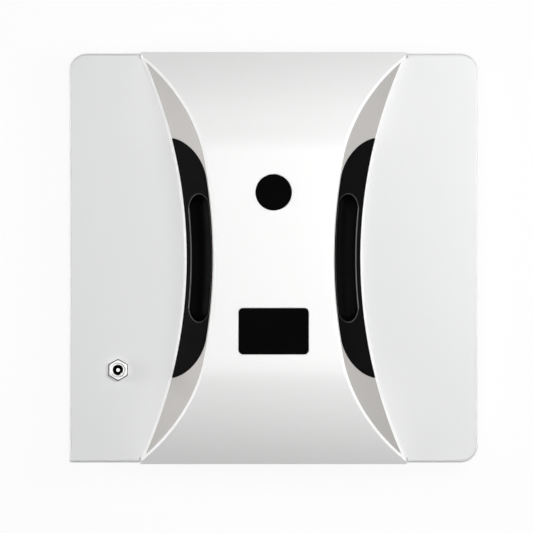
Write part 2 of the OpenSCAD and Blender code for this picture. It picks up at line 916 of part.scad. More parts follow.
module scroll_2d(out) {
    rotate([0, 0, 180]) {
        polygon(scroll_points(out));
        translate([scroll_r - out, 0])
            square([scroll_growth + 2 * out, outlet_l + (out > 0 ? 0 : overrun)]);
    }
}

module fan_scroll() {
    color(grey_plastic)
        difference() {
            translate([0, 0, scroll_floor_z])
                linear_extrude(scroll_wall + scroll_h) scroll_2d(scroll_wall);
            translate([0, 0, scroll_floor_z + scroll_wall])
                linear_extrude(scroll_h + overrun) scroll_2d(0);
            translate([0, 0, scroll_floor_z - overrun])
                cylinder(h = scroll_wall + 2 * overrun, r = inlet_r);
        }
}

module fan_cover() {
    color(grey_plastic)
        translate([0, 0, scroll_top])
            difference() {
                linear_extrude(scroll_wall) scroll_2d(scroll_wall);
                translate([0, 0, -overrun])
                    cylinder(h = scroll_wall + 2 * overrun, r = hub_r);
            }
}

// A blade that sweeps back from the hub side to the rim
function blade_side(side) = [for (i = [0:blade_steps])
    let (share = i / blade_steps, r = blade_in_r + (blade_out_r - blade_in_r) * share,
        a = -blade_sweep_deg * share + side * blade_t / (2 * r) * 180 / PI)
    r * [cos(a), sin(a)]];
function reversed(list) = [for (i = [len(list) - 1:-1:0]) list[i]];

module fan_impeller() {
    color(grey_plastic)
        difference() {
            union() {
                translate([0, 0, impeller_top - disc_t]) cylinder(h = disc_t, d = impeller_d);
                difference() {
                    translate([0, 0, impeller_z]) cylinder(h = disc_t, d = impeller_d);
                    translate([0, 0, impeller_z - overrun])
                        cylinder(h = disc_t + 2 * overrun, r = inlet_r - disc_t);
                }
                translate([0, 0, impeller_z + disc_t])
                    cylinder(h = impeller_h - disc_t, r = hub_r);
                for (i = [0:blade_count - 1])
                    rotate([0, 0, 360 * i / blade_count])
                        translate([0, 0, impeller_z + disc_t / 2])
                            linear_extrude(impeller_h - disc_t)
                                polygon(concat(blade_side(-1), reversed(blade_side(1))));
            }
            translate([0, 0, impeller_z])
                cylinder(h = 2 * impeller_h, r = fan_shaft_d / 2 + fixed_fit);
        }
}

module fan_shaft() {
    color(steel)
        translate([0, 0, impeller_z + disc_t])
            cylinder(
                h = fan_cover_top + fan_bore_up - shaft_end_gap - impeller_z - disc_t,
                d = fan_shaft_d);
}

module fan_motor() {
    color(steel)
        translate([0, 0, fan_cover_top])
            difference() {
                union() {
                    cylinder(h = fan_motor_h, d = fan_motor_d);
                    translate([0, 0, -scroll_wall])
                        cylinder(h = scroll_wall + overrun, r = hub_r - run_fit);
                }
                translate([0, 0, -scroll_wall - overrun])
                    cylinder(h = fan_bore_up + scroll_wall + overrun, r = fan_shaft_d / 2 + run_fit);
            }
}

grille_r = inlet_r + 2 * grille_lip;

module inlet_grille() {
    color(black_plastic)
        translate([0, 0, base_z]) {
            difference() {
                cylinder(h = grille_t, r = grille_r - grille_gap);
                translate([0, 0, -overrun]) cylinder(h = grille_t + 2 * overrun, r = inlet_r);
            }
            for (r = [grille_ring_step:grille_ring_step:inlet_r - grille_ring_step / 2])
                difference() {
                    cylinder(h = grille_t, r = r + grille_bar / 2);
                    translate([0, 0, -overrun])
                        cylinder(h = grille_t + 2 * overrun, r = r - grille_bar / 2);
                }
            for (i = [0:grille_spokes - 1])
                rotate([0, 0, 360 * i / grille_spokes])
                    translate([0, -grille_bar / 2, 0])
                        cube([inlet_r + grille_lip, grille_bar, grille_t]);
        }
}

// Outline of the space for the gears, grown outward by a distance
module gear_case_2d(out) {
    for (g = gears) translate(g[0]) circle(tip_r(g[1]) + gear_gap + out);
}

// Cut in the base plate for the right track frame and its gear case
module track_cut() {
    case_r = tip_r(final_teeth) + gear_gap + case_wall;
    far_r = tip_r(transfer_teeth) + gear_gap + case_wall;
    translate([frame_in_x - frame_cut_gap, -frame_half_l - frame_cut_gap, base_z - overrun])
        cube([
            2 * (frame_half_w + frame_cut_gap), 2 * (frame_half_l + frame_cut_gap),
            base_t + 2 * overrun]);
    translate([cover_x - frame_cut_gap, final_at[0] - case_r - frame_cut_gap, base_z - overrun])
        cube([
            case_depth + case_wall + frame_wall + 2 * frame_cut_gap,
            transfer_at[0] - final_at[0] + case_r + far_r + 2 * frame_cut_gap,
            base_t + 2 * overrun]);
}

module base_plate() {
    plate_in = shell_wall + base_gap;
    rib_x = track_x + frame_half_w + frame_foot_w + 2 * rib_t;
    rib_y = frame_half_l + frame_foot_w + 2 * rib_t;
    color(white_plastic)
        difference() {
            union() {
                translate([0, 0, base_z]) linear_extrude(base_t) body_2d(plate_in);
                for (s = [-1, 1]) {
                    translate([s * rib_x - rib_t / 2, -rib_y, base_top - overrun])
                        cube([rib_t, 2 * rib_y, rib_h + overrun]);
                    translate([-rib_x, s * rib_y - rib_t / 2, base_top - overrun])
                        cube([rib_x - battery_w / 2 - 2 * strap_foot, rib_t, rib_h + overrun]);
                    translate([battery_w / 2 + 2 * strap_foot, s * rib_y - rib_t / 2, base_top - overrun])
                        cube([rib_x - battery_w / 2 - 2 * strap_foot, rib_t, rib_h + overrun]);
                }
            }
            for (s = [0, 1]) mirror([s, 0, 0]) track_cut();
            translate([0, 0, base_z - overrun])
                cylinder(h = base_t + 2 * overrun, r = inlet_r + grille_lip);
            translate([0, 0, base_z - overrun]) cylinder(h = grille_t + overrun, r = grille_r);
            for (sx = [-1, 1], sy = [-1, 1])
                translate([sx * feeler_x, sy * feeler_y, base_z - overrun])
                    cylinder(h = base_t + 2 * overrun, d = feeler_d + 2 * run_fit);
            for (p = shell_screw_at)
                translate([p[0], p[1], base_z - overrun]) {
                    cylinder(h = base_t + 2 * overrun, r = screw_r + run_fit);
                    cylinder(h = screw_head_h + overrun, r = screw_head_r + base_gap);
                }
        }
}

pad_outer_w = body_w - 2 * pad_inset;
pad_outer_l = body_l - 2 * pad_inset;
pad_open_w = 2 * (track_x + frame_half_w + pad_gap);
pad_open_l = 2 * (frame_half_l + pad_gap);
pad_open_r = 6;

module cleaning_pad() {
    color("#8fb7d6")
        linear_extrude(pad_t)
            difference() {
                round_box_2d(pad_outer_w, pad_outer_l, same_corners(pad_corner_r));
                round_box_2d(pad_open_w, pad_open_l, same_corners(pad_open_r));
            }
}

module hook_strips() {
    strip_l = pad_open_l - 2 * pad_open_r;
    strip_w = pad_open_w - 2 * pad_open_r;
    color(grey_plastic)
        for (s = [-1, 1]) {
            translate([s * (pad_outer_w + pad_open_w) / 4, 0, base_z - hook_t / 2])
                cube([hook_w, strip_l, hook_t], center = true);
            translate([0, s * (pad_outer_l + pad_open_l) / 4, base_z - hook_t / 2])
                cube([strip_w, hook_w, hook_t], center = true);
        }
}

module edge_feeler(sx, sy) {
    collar_z = base_top + feeler_drop;
    color(black_plastic)
        translate([sx * feeler_x, sy * feeler_y, 0]) {
            translate([0, 0, feeler_tip_z + feeler_d / 2])
                cylinder(h = feeler_top - feeler_tip_z - feeler_d / 2, d = feeler_d);
            translate([0, 0, feeler_tip_z + feeler_d / 2])
                intersection() {
                    sphere(d = feeler_d);
                    translate([-feeler_d, -feeler_d, -feeler_d])
                        cube([2 * feeler_d, 2 * feeler_d, feeler_d]);
                }
            translate([0, 0, collar_z]) cylinder(h = feeler_collar_h, r = feeler_collar_r);
        }
}

module top_left_feeler() edge_feeler(-1, 1);
module top_right_feeler() edge_feeler(1, 1);
module bottom_left_feeler() edge_feeler(-1, -1);
module bottom_right_feeler() edge_feeler(1, -1);

module edge_switches() {
    color(grey_plastic)
        for (sx = [-1, 1], sy = [-1, 1])
            translate([sx * feeler_x, sy * feeler_y, feeler_top]) {
                cylinder(h = edge_plunger_h, r = edge_plunger_r);
                translate([-edge_switch_w / 2, -edge_switch_w / 2, edge_plunger_h])
                    cube([edge_switch_w, edge_switch_w, edge_switch_h]);
            }
}

module track_frame() {
    out_x = track_x + frame_half_w;
    color(grey_plastic)
        difference() {
            union() {
                translate([frame_in_x, -frame_half_l, frame_low_z])
                    cube([2 * frame_half_w, 2 * frame_half_l, frame_top - frame_low_z]);
                translate([frame_in_x, -frame_half_l - frame_foot_w, base_top])
                    cube([
                        2 * frame_half_w + frame_foot_w, 2 * (frame_half_l + frame_foot_w),
                        frame_foot_t]);
                slab_x(chamber_x, frame_in_x + frame_wall) gear_case_2d(case_wall);
            }
            translate([frame_in_x + frame_wall, -frame_half_l + frame_wall, -overrun])
                cube([
                    2 * well_half_w, 2 * (frame_half_l - frame_wall),
                    frame_top - frame_wall + overrun]);
            difference() {
                slab_x(chamber_x - overrun, frame_in_x) gear_case_2d(0);
                slab_x(chamber_x - 2 * overrun, frame_in_x + overrun)
                    translate(transfer_at) circle(d = pin_d);
            }
            slab_x(chamber_x - overrun, out_x + overrun)
                translate(final_at) circle(d = axle_d + 2 * run_fit);
            slab_x(frame_in_x - overrun, out_x + overrun)
                translate([-drive_y, axle_z]) circle(d = axle_d + 2 * fixed_fit);
        }
}

// One tooth of the belt, pointing along -Y from the belt's inner face at zero
module belt_tooth_2d(side_gap, end_gap) {
    tip = belt_pitch * tooth_tip_share / 2 + side_gap;
    spread = belt_pitch * tooth_spread_share;
    high = belt_tooth_h + end_gap;
    root = belt_back / 2;
    polygon([[-tip - spread, root], [tip + spread, root], [tip, -high], [-tip, -high]]);
}

module track_belt() {
    run_teeth = round(wheel_span / belt_pitch);
    wrap_deg = 360 / sprocket_teeth;
    color(rubber)
        slab_x(track_x - belt_w / 2 + belt_side_gap, track_x + belt_w / 2 - belt_side_gap)
            translate([0, axle_z])
                difference() {
                    stadium_2d(wheel_span, belt_r);
                    difference() {
                        stadium_2d(wheel_span, pitch_r);
                        for (s = [0, 180], i = [0:run_teeth - 1])
                            rotate([0, 0, s])
                                translate([(i + 0.5) * belt_pitch - drive_y, pitch_r])
                                    belt_tooth_2d(0, 0);
                        for (s = [0, 180], i = [0:sprocket_teeth / 2 - 1])
                            rotate([0, 0, s])
                                translate([drive_y, 0])
                                    rotate([0, 0, -(i + 0.5) * wrap_deg])
                                        translate([0, pitch_r]) belt_tooth_2d(0, 0);
                    }
                }
}

// Solid of a wheel between its flanges, hollowed from both sides, about the X axis
module wheel_body(rim_r) {
    half = belt_w / 2 + flange_t;
    difference() {
        children();
        for (s = [-1, 1])
            slab_x(s < 0 ? -half - overrun : wheel_web_t / 2,
                s < 0 ? -wheel_web_t / 2 : half + overrun)
                difference() {
                    circle(rim_r);
                    circle(wheel_hub_r);
                }
    }
}

module flange_pair(r, bore_r) {
    for (s = [-1, 1])
        slab_x(s < 0 ? -belt_w / 2 - flange_t : belt_w / 2,
            s < 0 ? -belt_w / 2 : belt_w / 2 + flange_t)
            difference() {
                circle(r);
                circle(bore_r);
            }
}

module drive_sprocket() {
    wrap_deg = 360 / sprocket_teeth;
    groove_floor = pitch_r - belt_tooth_h - tooth_end_gap;
    color(black_plastic)
        translate([track_x, drive_y, axle_z])
            wheel_body(groove_floor - wheel_rim_t)
                union() {
                    slab_x(-belt_w / 2, belt_w / 2)
                        difference() {
                            circle(pitch_r - run_fit);
                            for (i = [0:sprocket_teeth - 1])
                                rotate([0, 0, (i + 0.5) * wrap_deg])
                                    translate([0, pitch_r])
                                        belt_tooth_2d(tooth_side_gap, tooth_end_gap);
                            circle(axle_d / 2 + fixed_fit);
                        }
                    flange_pair(pitch_r + rim_over_belt, axle_d / 2 + fixed_fit);
                }
}

module idler_wheel() {
    drum_r = pitch_r - belt_tooth_h - idler_gap;
    color(black_plastic)
        translate([track_x, -drive_y, axle_z])
            wheel_body(drum_r - wheel_rim_t)
                union() {
                    slab_x(-belt_w / 2, belt_w / 2)
                        difference() {
                            circle(drum_r);
                            circle(axle_d / 2 + run_fit);
                        }
                    flange_pair(pitch_r + rim_over_belt, axle_d / 2 + run_fit);
                }
}

module drive_axle() {
    color(steel)
        slab_x(gear_x, track_x + frame_half_w - base_gap)
            translate(final_at) circle(d = axle_d);
}

module idler_axle() {
    color(steel)
        slab_x(frame_in_x, track_x + frame_half_w)
            translate([-drive_y, axle_z]) circle(d = axle_d);
}

// Involute tooth outline: half the angle that a tooth spans at a radius
function involute(deg) = tan(deg) * 180 / PI - deg;
function half_tooth(teeth, r) = let (
    rp = gear_module * teeth / 2,
    rb = rp * cos(pressure_deg),
    slack = backlash / (4 * rp) * 180 / PI)
    90 / teeth - slack + involute(pressure_deg) - involute(acos(min(1, rb / r)));

module gear_2d(teeth, phase) {
    rp = gear_module * teeth / 2;
    root = rp - dedendum;
    foot = max(root, rp * cos(pressure_deg));
    tip = rp + addendum;
    flank = [for (k = [0:flank_steps]) foot + (tip - foot) * k / flank_steps];
    radii = concat(root < foot ? [root] : [], flank);
    rotate([0, 0, phase])
        polygon([for (i = [0:teeth - 1])
            let (mid = 360 * i / teeth)
            for (side = [-1, 1], k = [0:len(radii) - 1])
                let (r = side < 0 ? radii[k] : radii[len(radii) - 1 - k],
                    a = mid + side * half_tooth(teeth, max(r, foot)))
                r * [cos(a), sin(a)]]);
}

// Turn that puts a gear's gap where the gear it meets, seen at an angle, has its tooth
function mesh_phase(teeth_a, phase_a, teeth_b, angle) =
    angle + 180 - (0.5 - teeth_a * (angle - phase_a) / 360) * 360 / teeth_b;
final_phase = 0;
transfer_phase = mesh_phase(final_teeth, final_phase, transfer_teeth, transfer_deg);
pinion_phase = mesh_phase(transfer_teeth, transfer_phase, pinion_teeth, pinion_deg);

module spur_gear(at, teeth, phase, bore_r) {
    slab_x(gear_x, gear_x + gear_w)
        translate(at)
            difference() {
                gear_2d(teeth, phase);
                circle(bore_r);
            }
}

module final_gear() {
    color(brass) spur_gear(final_at, final_teeth, final_phase, axle_d / 2 + fixed_fit);
}

module transfer_gear() {
    color("#e8e4d8") spur_gear(transfer_at, transfer_teeth, transfer_phase, pin_d / 2 + run_fit);
}

module motor_pinion() {
    color(brass)
        spur_gear(pinion_at, pinion_teeth, pinion_phase, motor_shaft_d / 2 + fixed_fit);
}

module motor_shaft() {
    color(steel)
        slab_x(cover_x - motor_bore + shaft_end_gap, gear_x + gear_w)
            translate(pinion_at) circle(d = motor_shaft_d);
}

module gear_cover() {
    color(grey_plastic)
        slab_x(cover_x, chamber_x)
            difference() {
                gear_case_2d(case_wall);
                translate(pinion_at) circle(d = motor_boss_d + 2 * fixed_fit);
            }
}

module gear_motor() {
    color(steel)
        difference() {
            union() {
                slab_x(cover_x - motor_l, cover_x) translate(pinion_at) circle(d = motor_d);
                slab_x(cover_x, chamber_x)
                    translate(pinion_at) circle(d = motor_boss_d);
            }
            slab_x(cover_x - motor_bore, chamber_x + overrun)
                translate(pinion_at) circle(d = motor_shaft_d + 2 * run_fit);
        }
}

module left() mirror([1, 0, 0]) children();
module left_track_frame() left() track_frame();
module right_track_frame() track_frame();
module left_track_belt() left() track_belt();
module right_track_belt() track_belt();
module left_drive_sprocket() left() drive_sprocket();
module right_drive_sprocket() drive_sprocket();
module left_drive_axle() left() drive_axle();
module right_drive_axle() drive_axle();
module left_final_gear() left() final_gear();
module right_final_gear() final_gear();
module left_transfer_gear() left() transfer_gear();
module right_transfer_gear() transfer_gear();
module left_motor_pinion() left() motor_pinion();
module right_motor_pinion() motor_pinion();
module left_motor_shaft() left() motor_shaft();
module right_motor_shaft() motor_shaft();
module left_gear_cover() left() gear_cover();
module right_gear_cover() gear_cover();
module left_gear_motor() left() gear_motor();
module right_gear_motor() gear_motor();
module left_idler_wheel() left() idler_wheel();
module right_idler_wheel() idler_wheel();
module left_idler_axle() left() idler_axle();
module right_idler_axle() idler_axle();

// A screw driven upwards, its head's upper face at the origin
module screw(r, head_r, head_h, length) {
    cylinder(h = length, r = r);
    translate([0, 0, -head_h]) cylinder(h = head_h, r = head_r);
}

module shell_screws() {
    color(steel)
        for (p = shell_screw_at)
            translate([p[0], p[1], base_z + screw_head_h])
                screw(
                    screw_r, screw_head_r, screw_head_h,
                    base_t - screw_head_h + screw_bite - screw_tip_gap);
}

module bridge_screws() {
    color(steel)
        for (p = bridge_screw_at)
            translate([p[0], p[1], roof_z])
                screw(screw_r, screw_head_r, screw_head_h, shell_wall + screw_bite - screw_tip_gap);
}

module board_screws() {
    color(steel)
        for (p = board_screw_at)
            translate([p[0], p[1], board_z])
                screw(
                    post_hole_r, board_screw_head_r, board_screw_head_h,
                    board_t + post_hole_l - screw_tip_gap);
}

top_shell();
base_plate();
bridge_cover();
left_side_trim();
right_side_trim();
left_grip_insert();
right_grip_insert();
display_window();
power_button();
switch_plunger();
tact_switch();
jack_barrel();
jack_nut();
jack_pin();
jack_insulator();
main_board();
board_parts();
battery_pack();
battery_strap();
fan_scroll();
fan_cover();
fan_impeller();
fan_shaft();
fan_motor();
inlet_grille();
cleaning_pad();
hook_strips();
edge_switches();
top_left_feeler();
top_right_feeler();
bottom_left_feeler();
bottom_right_feeler();
left_track_frame();
right_track_frame();
left_track_belt();
right_track_belt();
left_drive_sprocket();
right_drive_sprocket();
left_drive_axle();
right_drive_axle();
left_final_gear();
right_final_gear();
left_transfer_gear();
right_transfer_gear();
left_motor_pinion();
right_motor_pinion();
left_motor_shaft();
right_motor_shaft();
left_gear_cover();
right_gear_cover();
left_gear_motor();
right_gear_motor();
left_idler_wheel();
right_idler_wheel();
left_idler_axle();
right_idler_axle();
shell_screws();
bridge_screws();
board_screws();
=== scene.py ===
import math

import bmesh
import bpy
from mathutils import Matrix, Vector


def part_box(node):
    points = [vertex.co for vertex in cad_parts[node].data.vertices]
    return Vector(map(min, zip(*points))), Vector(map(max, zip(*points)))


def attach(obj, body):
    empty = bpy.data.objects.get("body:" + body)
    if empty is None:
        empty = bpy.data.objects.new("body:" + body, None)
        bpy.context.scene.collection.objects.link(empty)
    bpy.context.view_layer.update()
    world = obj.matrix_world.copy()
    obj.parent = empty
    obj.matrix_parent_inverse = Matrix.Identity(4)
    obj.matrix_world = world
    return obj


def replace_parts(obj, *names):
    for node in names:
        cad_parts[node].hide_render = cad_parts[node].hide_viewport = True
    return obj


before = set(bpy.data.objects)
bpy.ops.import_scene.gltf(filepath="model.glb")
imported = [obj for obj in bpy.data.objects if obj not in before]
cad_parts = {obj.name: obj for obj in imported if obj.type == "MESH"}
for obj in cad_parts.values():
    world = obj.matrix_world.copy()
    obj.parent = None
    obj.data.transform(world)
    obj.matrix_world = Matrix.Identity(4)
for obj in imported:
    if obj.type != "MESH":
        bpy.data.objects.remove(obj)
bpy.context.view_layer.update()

# Camera: straight above and far off, aimed where the middle of the picture falls
AIM = (-0.0040, -0.0048, 0.031)
CAMERA_RISE = 4.0
VIEW_WIDTH = 0.3023
SENSOR = 36.0

# Lamps: place, width and power of each soft disk, aimed at the robot
LAMPS = {
    "top_lamp": ((0.0, 0.0, 1.30), 0.8, 5.5),
    "back_lamp": ((0.0, 0.75, 1.0), 0.5, 0.5),
    "near_lamp": ((0.32, 0.10, 0.55), 0.35, 2.1),
    "left_lamp": ((-1.10, 0.10, 0.35), 0.4, 2.0),
    "rim_left_lamp": ((-1.05, -0.04, 0.14), 0.35, 4.0),
    "rim_right_lamp": ((1.05, -0.04, 0.14), 0.35, 2.0),
}

# Surroundings: soft light from above and below, what is seen and mirrored, and the floor
FILL = 0.03
UNDER_FILL = 1.0
HORIZON = 0.1
BACKDROP = 1.0
CEILING = 0.10
CEILING_FROM = 0.5
MIRRORED = 0.5
FLOOR_SIZE = 6.0
FLOOR_GLOW = 0.92

# Edges of the mouldings
WELD = 2e-6
FLAT_TURN = math.radians(0.4)
EDGE_TURN = math.radians(32)
SMOOTH_TURN = math.radians(38)
ROUND_STEPS = 3
SHELL_ROUND = 0.0003
PANEL_ROUND = 0.00022
PLATE_ROUND = 0.0003
GRIP_ROUND = 0.0004
METAL_ROUND = 0.00018

# Where the bridge's pointed ends begin, and the span of the grips' finger scoops
TIP_X = 0.0725
TIP_Y = 0.1139
SCOOP_REACH = 0.0375
SCOOP_LOW = 0.0345
SCOOP_HIGH = 0.0528

# Wear: how sharply a surface bends where it starts to show, and where it is full
WEAR_START = 0.52
WEAR_FULL = 0.60

# Power inlet: nut, thread on the barrel and contact leaf
CIRCLE_SIDES = 72
NUT_CORNER = 0.0003
NUT_LINE = 0.0005
THREAD_PITCH = 0.00075
THREAD_RISE = 0.0003
THREAD_STEPS = 6
BARREL_R = 0.004
BORE_R = 0.003
LEAF_TURN = math.radians(-45)
LEAF_W = 0.0016
LEAF_T = 0.00025
LEAF_BOW = 0.0005
LEAF_L = 0.006
LEAF_UNDER = 0.0004
LEAF_STEPS = 8

# Cleaning pad: a crowned ring of microfibre with a bound edge
PAD_OUT_R = 0.016
PAD_IN_R = 0.006
PAD_HALF_BAND = 0.018
PAD_HOLE_REACH = 0.095
PAD_SIDE_PILE = 0.0009
PAD_SIDE_POWER = 0.22
PAD_CROWN_POWER = 0.62
PAD_PROFILE = 28
PAD_CORNER_STEPS = 10
PAD_STRAIGHT_STEPS = 36

# Pile: tufts on the pad's underside and on the side of its opening
PILE_L = 0.0011
PILE_DENSITY = 620000.0
PILE_SLOPE = 0.3
PILE_SEED = 7
LEAN = 0.3
LEAN_SEED = 3
SHORTEST = 0.7
LENGTH_SEED = 5
TUFT_R = 0.00034
TUFT_SIDES = 3
TUFT_WAIST_R = 0.8
TUFT_WAIST_LEAN = 0.3
TUFT_WAIST_L = 0.6
TUFT_TIP_L = 0.96

# Binding and stitches; a stitch's profile is its place along and its thickness there
BINDING_W = 0.0034
BINDING_T = 0.00035
BINDING_SPAN = math.radians(40)
BINDING_STEPS = 6
STITCH_LINE = 0.82
STITCH_PITCH = 0.0032
STITCH_L = 0.0021
STITCH_R = 0.00028
STITCH_SIDES = 6
STITCH_PROFILE = ((-0.5, 0.35), (-0.32, 0.85), (0, 1), (0.32, 0.85), (0.5, 0.35))

# Belts: the tread's bars stand on the belt's back
TREAD_H = 0.0006
TREAD_L = 0.0017
TREAD_COUNT = 62
TREAD_CHAMFER = 0.4
TREAD_CHAMFER_STEPS = 2

# Screws: a domed head with a cross recess; the dome's steps are shares of radius and height
SCREW_SIDES = 24
SCREW_HEAD_R = 0.0028
SCREW_HEAD_H = 0.0014
SCREW_FACE = 0.86
SCREW_DOME = ((0.97, 0.22), (1.0, 0.5), (1.0, 1.0))
SCREW_SHANK_R = 0.0015
SCREW_TURN = 0.7
RECESS_ARM = 0.0017
RECESS_HALF = 0.00036
RECESS_DEPTH = 0.0009
RECESS_TAPER = 0.7


# Materials

def link(tree, source, target):
    tree.links.new(source, target)


def add(tree, kind, **settings):
    """A new node of a kind, with its plain settings"""
    made = tree.nodes.new(kind)
    for key, value in settings.items():
        setattr(made, key, value)
    return made


def blank(name):
    """A new material with its shader and its place on the object"""
    material = bpy.data.materials.new(name)
    material.use_nodes = True
    tree = material.node_tree
    shader = tree.nodes["Principled BSDF"]
    place = add(tree, "ShaderNodeTexCoord").outputs["Object"]
    return material, tree, shader, place


def noise(tree, place, scale, detail=3.0, stretch=(1, 1, 1)):
    """Noise at a scale per metre, stretched along an axis where asked"""
    turn = add(tree, "ShaderNodeMapping")
    turn.inputs["Scale"].default_value = stretch
    link(tree, place, turn.inputs["Vector"])
    made = add(tree, "ShaderNodeTexNoise")
    made.inputs["Scale"].default_value = scale
    made.inputs["Detail"].default_value = detail
    link(tree, turn.outputs["Vector"], made.inputs["Vector"])
    return made.outputs["Fac"]


def spread(tree, value, low, high, start=0.3, end=0.7):
    """A value between start and end laid out from low to high"""
    made = add(tree, "ShaderNodeMapRange")
    made.inputs["From Min"].default_value = start
    made.inputs["From Max"].default_value = end
    made.inputs["To Min"].default_value = low
    made.inputs["To Max"].default_value = high
    link(tree, value, made.inputs["Value"])
    return made.outputs["Result"]


def mixed(tree, share, first, second):
    """Two colours mixed by a share; each is a colour or a socket"""
    made = add(tree, "ShaderNodeMix", data_type="RGBA")
    link(tree, share, made.inputs["Factor"])
    for key, colour in (("A", first), ("B", second)):
        socket = next(s for s in made.inputs if s.name == key and s.type == "RGBA")
        if isinstance(colour, (tuple, list)):
            socket.default_value = (*colour, 1)
        else:
            link(tree, colour, socket)
    return next(s for s in made.outputs if s.type == "RGBA")


def maths(tree, operation, first, second):
    """Two values put together by an operation; the second is a number or a socket"""
    made = add(tree, "ShaderNodeMath", operation=operation)
    link(tree, first, made.inputs[0])
    if isinstance(second, float):
        made.inputs[1].default_value = second
    else:
        link(tree, second, made.inputs[1])
    return made.outputs["Value"]


def worn_edges(tree):
    """How strongly a spot is an outer edge, from the bend of the surface"""
    bend = add(tree, "ShaderNodeNewGeometry").outputs["Pointiness"]
    return spread(tree, bend, 0, 1, WEAR_START, WEAR_FULL)


def relief(tree, shader, heights):
    """Bumps laid over each other: pairs of a height socket and its depth in metres"""
    before = None
    for height, depth in heights:
        made = add(tree, "ShaderNodeBump")
        made.inputs["Distance"].default_value = depth
        made.inputs["Strength"].default_value = 1.0
        link(tree, height, made.inputs["Height"])
        if before is not None:
            link(tree, before, made.inputs["Normal"])
        before = made.outputs["Normal"]
    link(tree, before, shader.inputs["Normal"])


def shade(name, dark, light, rough, mottle=25.0, grain=1400.0, depth=2e-6, wear=None,
          stretch=(1, 1, 1), **constant):
    """A finish that drifts from dark to light and within a range of roughness.

    Mottle and grain are scales per metre, and depth is the grain's in metres. Wear is
    the colour of the outer edges, and constant holds sockets with one value throughout.
    """
    material, tree, shader, place = blank(name)
    drift = spread(tree, noise(tree, place, mottle), 0, 1)
    colour = mixed(tree, drift, dark, light)
    if wear:
        colour = mixed(tree, worn_edges(tree), colour, wear)
    link(tree, colour, shader.inputs["Base Color"])
    fine = noise(tree, place, grain, detail=4.0, stretch=stretch)
    worn = noise(tree, place, mottle * 4, detail=5.0)
    link(tree, spread(tree, worn, *rough), shader.inputs["Roughness"])
    relief(tree, shader, [(fine, depth)])
    for key, value in constant.items():
        shader.inputs[key.replace("_", " ")].default_value = value
    return material


def white_moulding(name, dark, light):
    """Glossy white plastic with a faint orange peel over a finer grain"""
    material, tree, shader, place = blank(name)
    drift = spread(tree, noise(tree, place, scale=12.0, detail=2.0), 0, 1, start=0.15, end=0.85)
    link(tree, mixed(tree, drift, dark, light), shader.inputs["Base Color"])
    handled = noise(tree, place, scale=60.0, detail=4.0)
    link(tree, spread(tree, handled, 0.28, 0.34, start=0.15, end=0.85),
         shader.inputs["Roughness"])
    peel = noise(tree, place, scale=420.0, detail=2.0)
    grain = noise(tree, place, scale=2600.0, detail=2.0)
    relief(tree, shader, [(peel, 3e-6), (grain, 8e-7)])
    shader.inputs["Coat Weight"].default_value = 0.25
    shader.inputs["Coat Roughness"].default_value = 0.12
    shader.inputs["Specular IOR Level"].default_value = 0.4
    return material


def polished_black(name):
    """Black glossy plastic with faint wipe marks"""
    material, tree, shader, place = blank(name)
    drift = spread(tree, noise(tree, place, scale=40.0), 0, 1)
    link(tree, mixed(tree, drift, (0.0004, 0.0004, 0.0005), (0.0009, 0.0009, 0.0011)),
         shader.inputs["Base Color"])
    wipe = noise(tree, place, scale=90.0, detail=6.0, stretch=(1, 5, 1))
    link(tree, spread(tree, wipe, 0.05, 0.12), shader.inputs["Roughness"])
    relief(tree, shader, [(noise(tree, place, scale=300.0, detail=1.0), 4e-7)])
    shader.inputs["Specular IOR Level"].default_value = 0.008
    return material


def silver_paint(name):
    """Satin silver paint: fine flakes under a thin clear layer"""
    material, tree, shader, place = blank(name)
    flakes = add(tree, "ShaderNodeTexVoronoi", feature="F1")
    flakes.inputs["Scale"].default_value = 4200.0
    link(tree, place, flakes.inputs["Vector"])
    glint = spread(tree, flakes.outputs["Distance"], 0, 1, start=0.1, end=0.7)
    drift = spread(tree, noise(tree, place, scale=16.0, detail=2.0), 0, 1)
    soft = mixed(tree, drift, (0.49, 0.47, 0.455), (0.53, 0.51, 0.495))
    link(tree, mixed(tree, glint, soft, (0.42, 0.405, 0.39)), shader.inputs["Base Color"])
    link(tree, spread(tree, noise(tree, place, scale=120.0), 0.34, 0.44),
         shader.inputs["Roughness"])
    relief(tree, shader, [(flakes.outputs["Distance"], 1.2e-6)])
    shader.inputs["Metallic"].default_value = 0.25
    shader.inputs["Coat Weight"].default_value = 0.15
    shader.inputs["Coat Roughness"].default_value = 0.25
    return material


def turned_metal(name, dark, light, rough=(0.22, 0.36), along=(1, 1, 1)):
    """Metal with the fine lines of its tool"""
    return shade(name, dark, light, rough, mottle=60.0, grain=900.0, depth=1.5e-6,
                 stretch=along, Metallic=1.0)


def microfibre(name, dark, light):
    """Soft pile cloth with a sheen"""
    material, tree, shader, place = blank(name)
    patch = spread(tree, noise(tree, place, scale=70.0, detail=4.0), 0, 1)
    fine = spread(tree, noise(tree, place, scale=900.0, detail=4.0), 0, 1)
    tone = mixed(tree, patch, dark, light)
    link(tree, mixed(tree, fine, tone, light), shader.inputs["Base Color"])
    link(tree, spread(tree, fine, 0.8, 0.98), shader.inputs["Roughness"])
    relief(tree, shader, [(noise(tree, place, scale=1500.0, detail=5.0), 1.2e-4)])
    shader.inputs["Sheen Weight"].default_value = 0.5
    shader.inputs["Sheen Roughness"].default_value = 0.4
    shader.inputs["Specular IOR Level"].default_value = 0.15
    return material


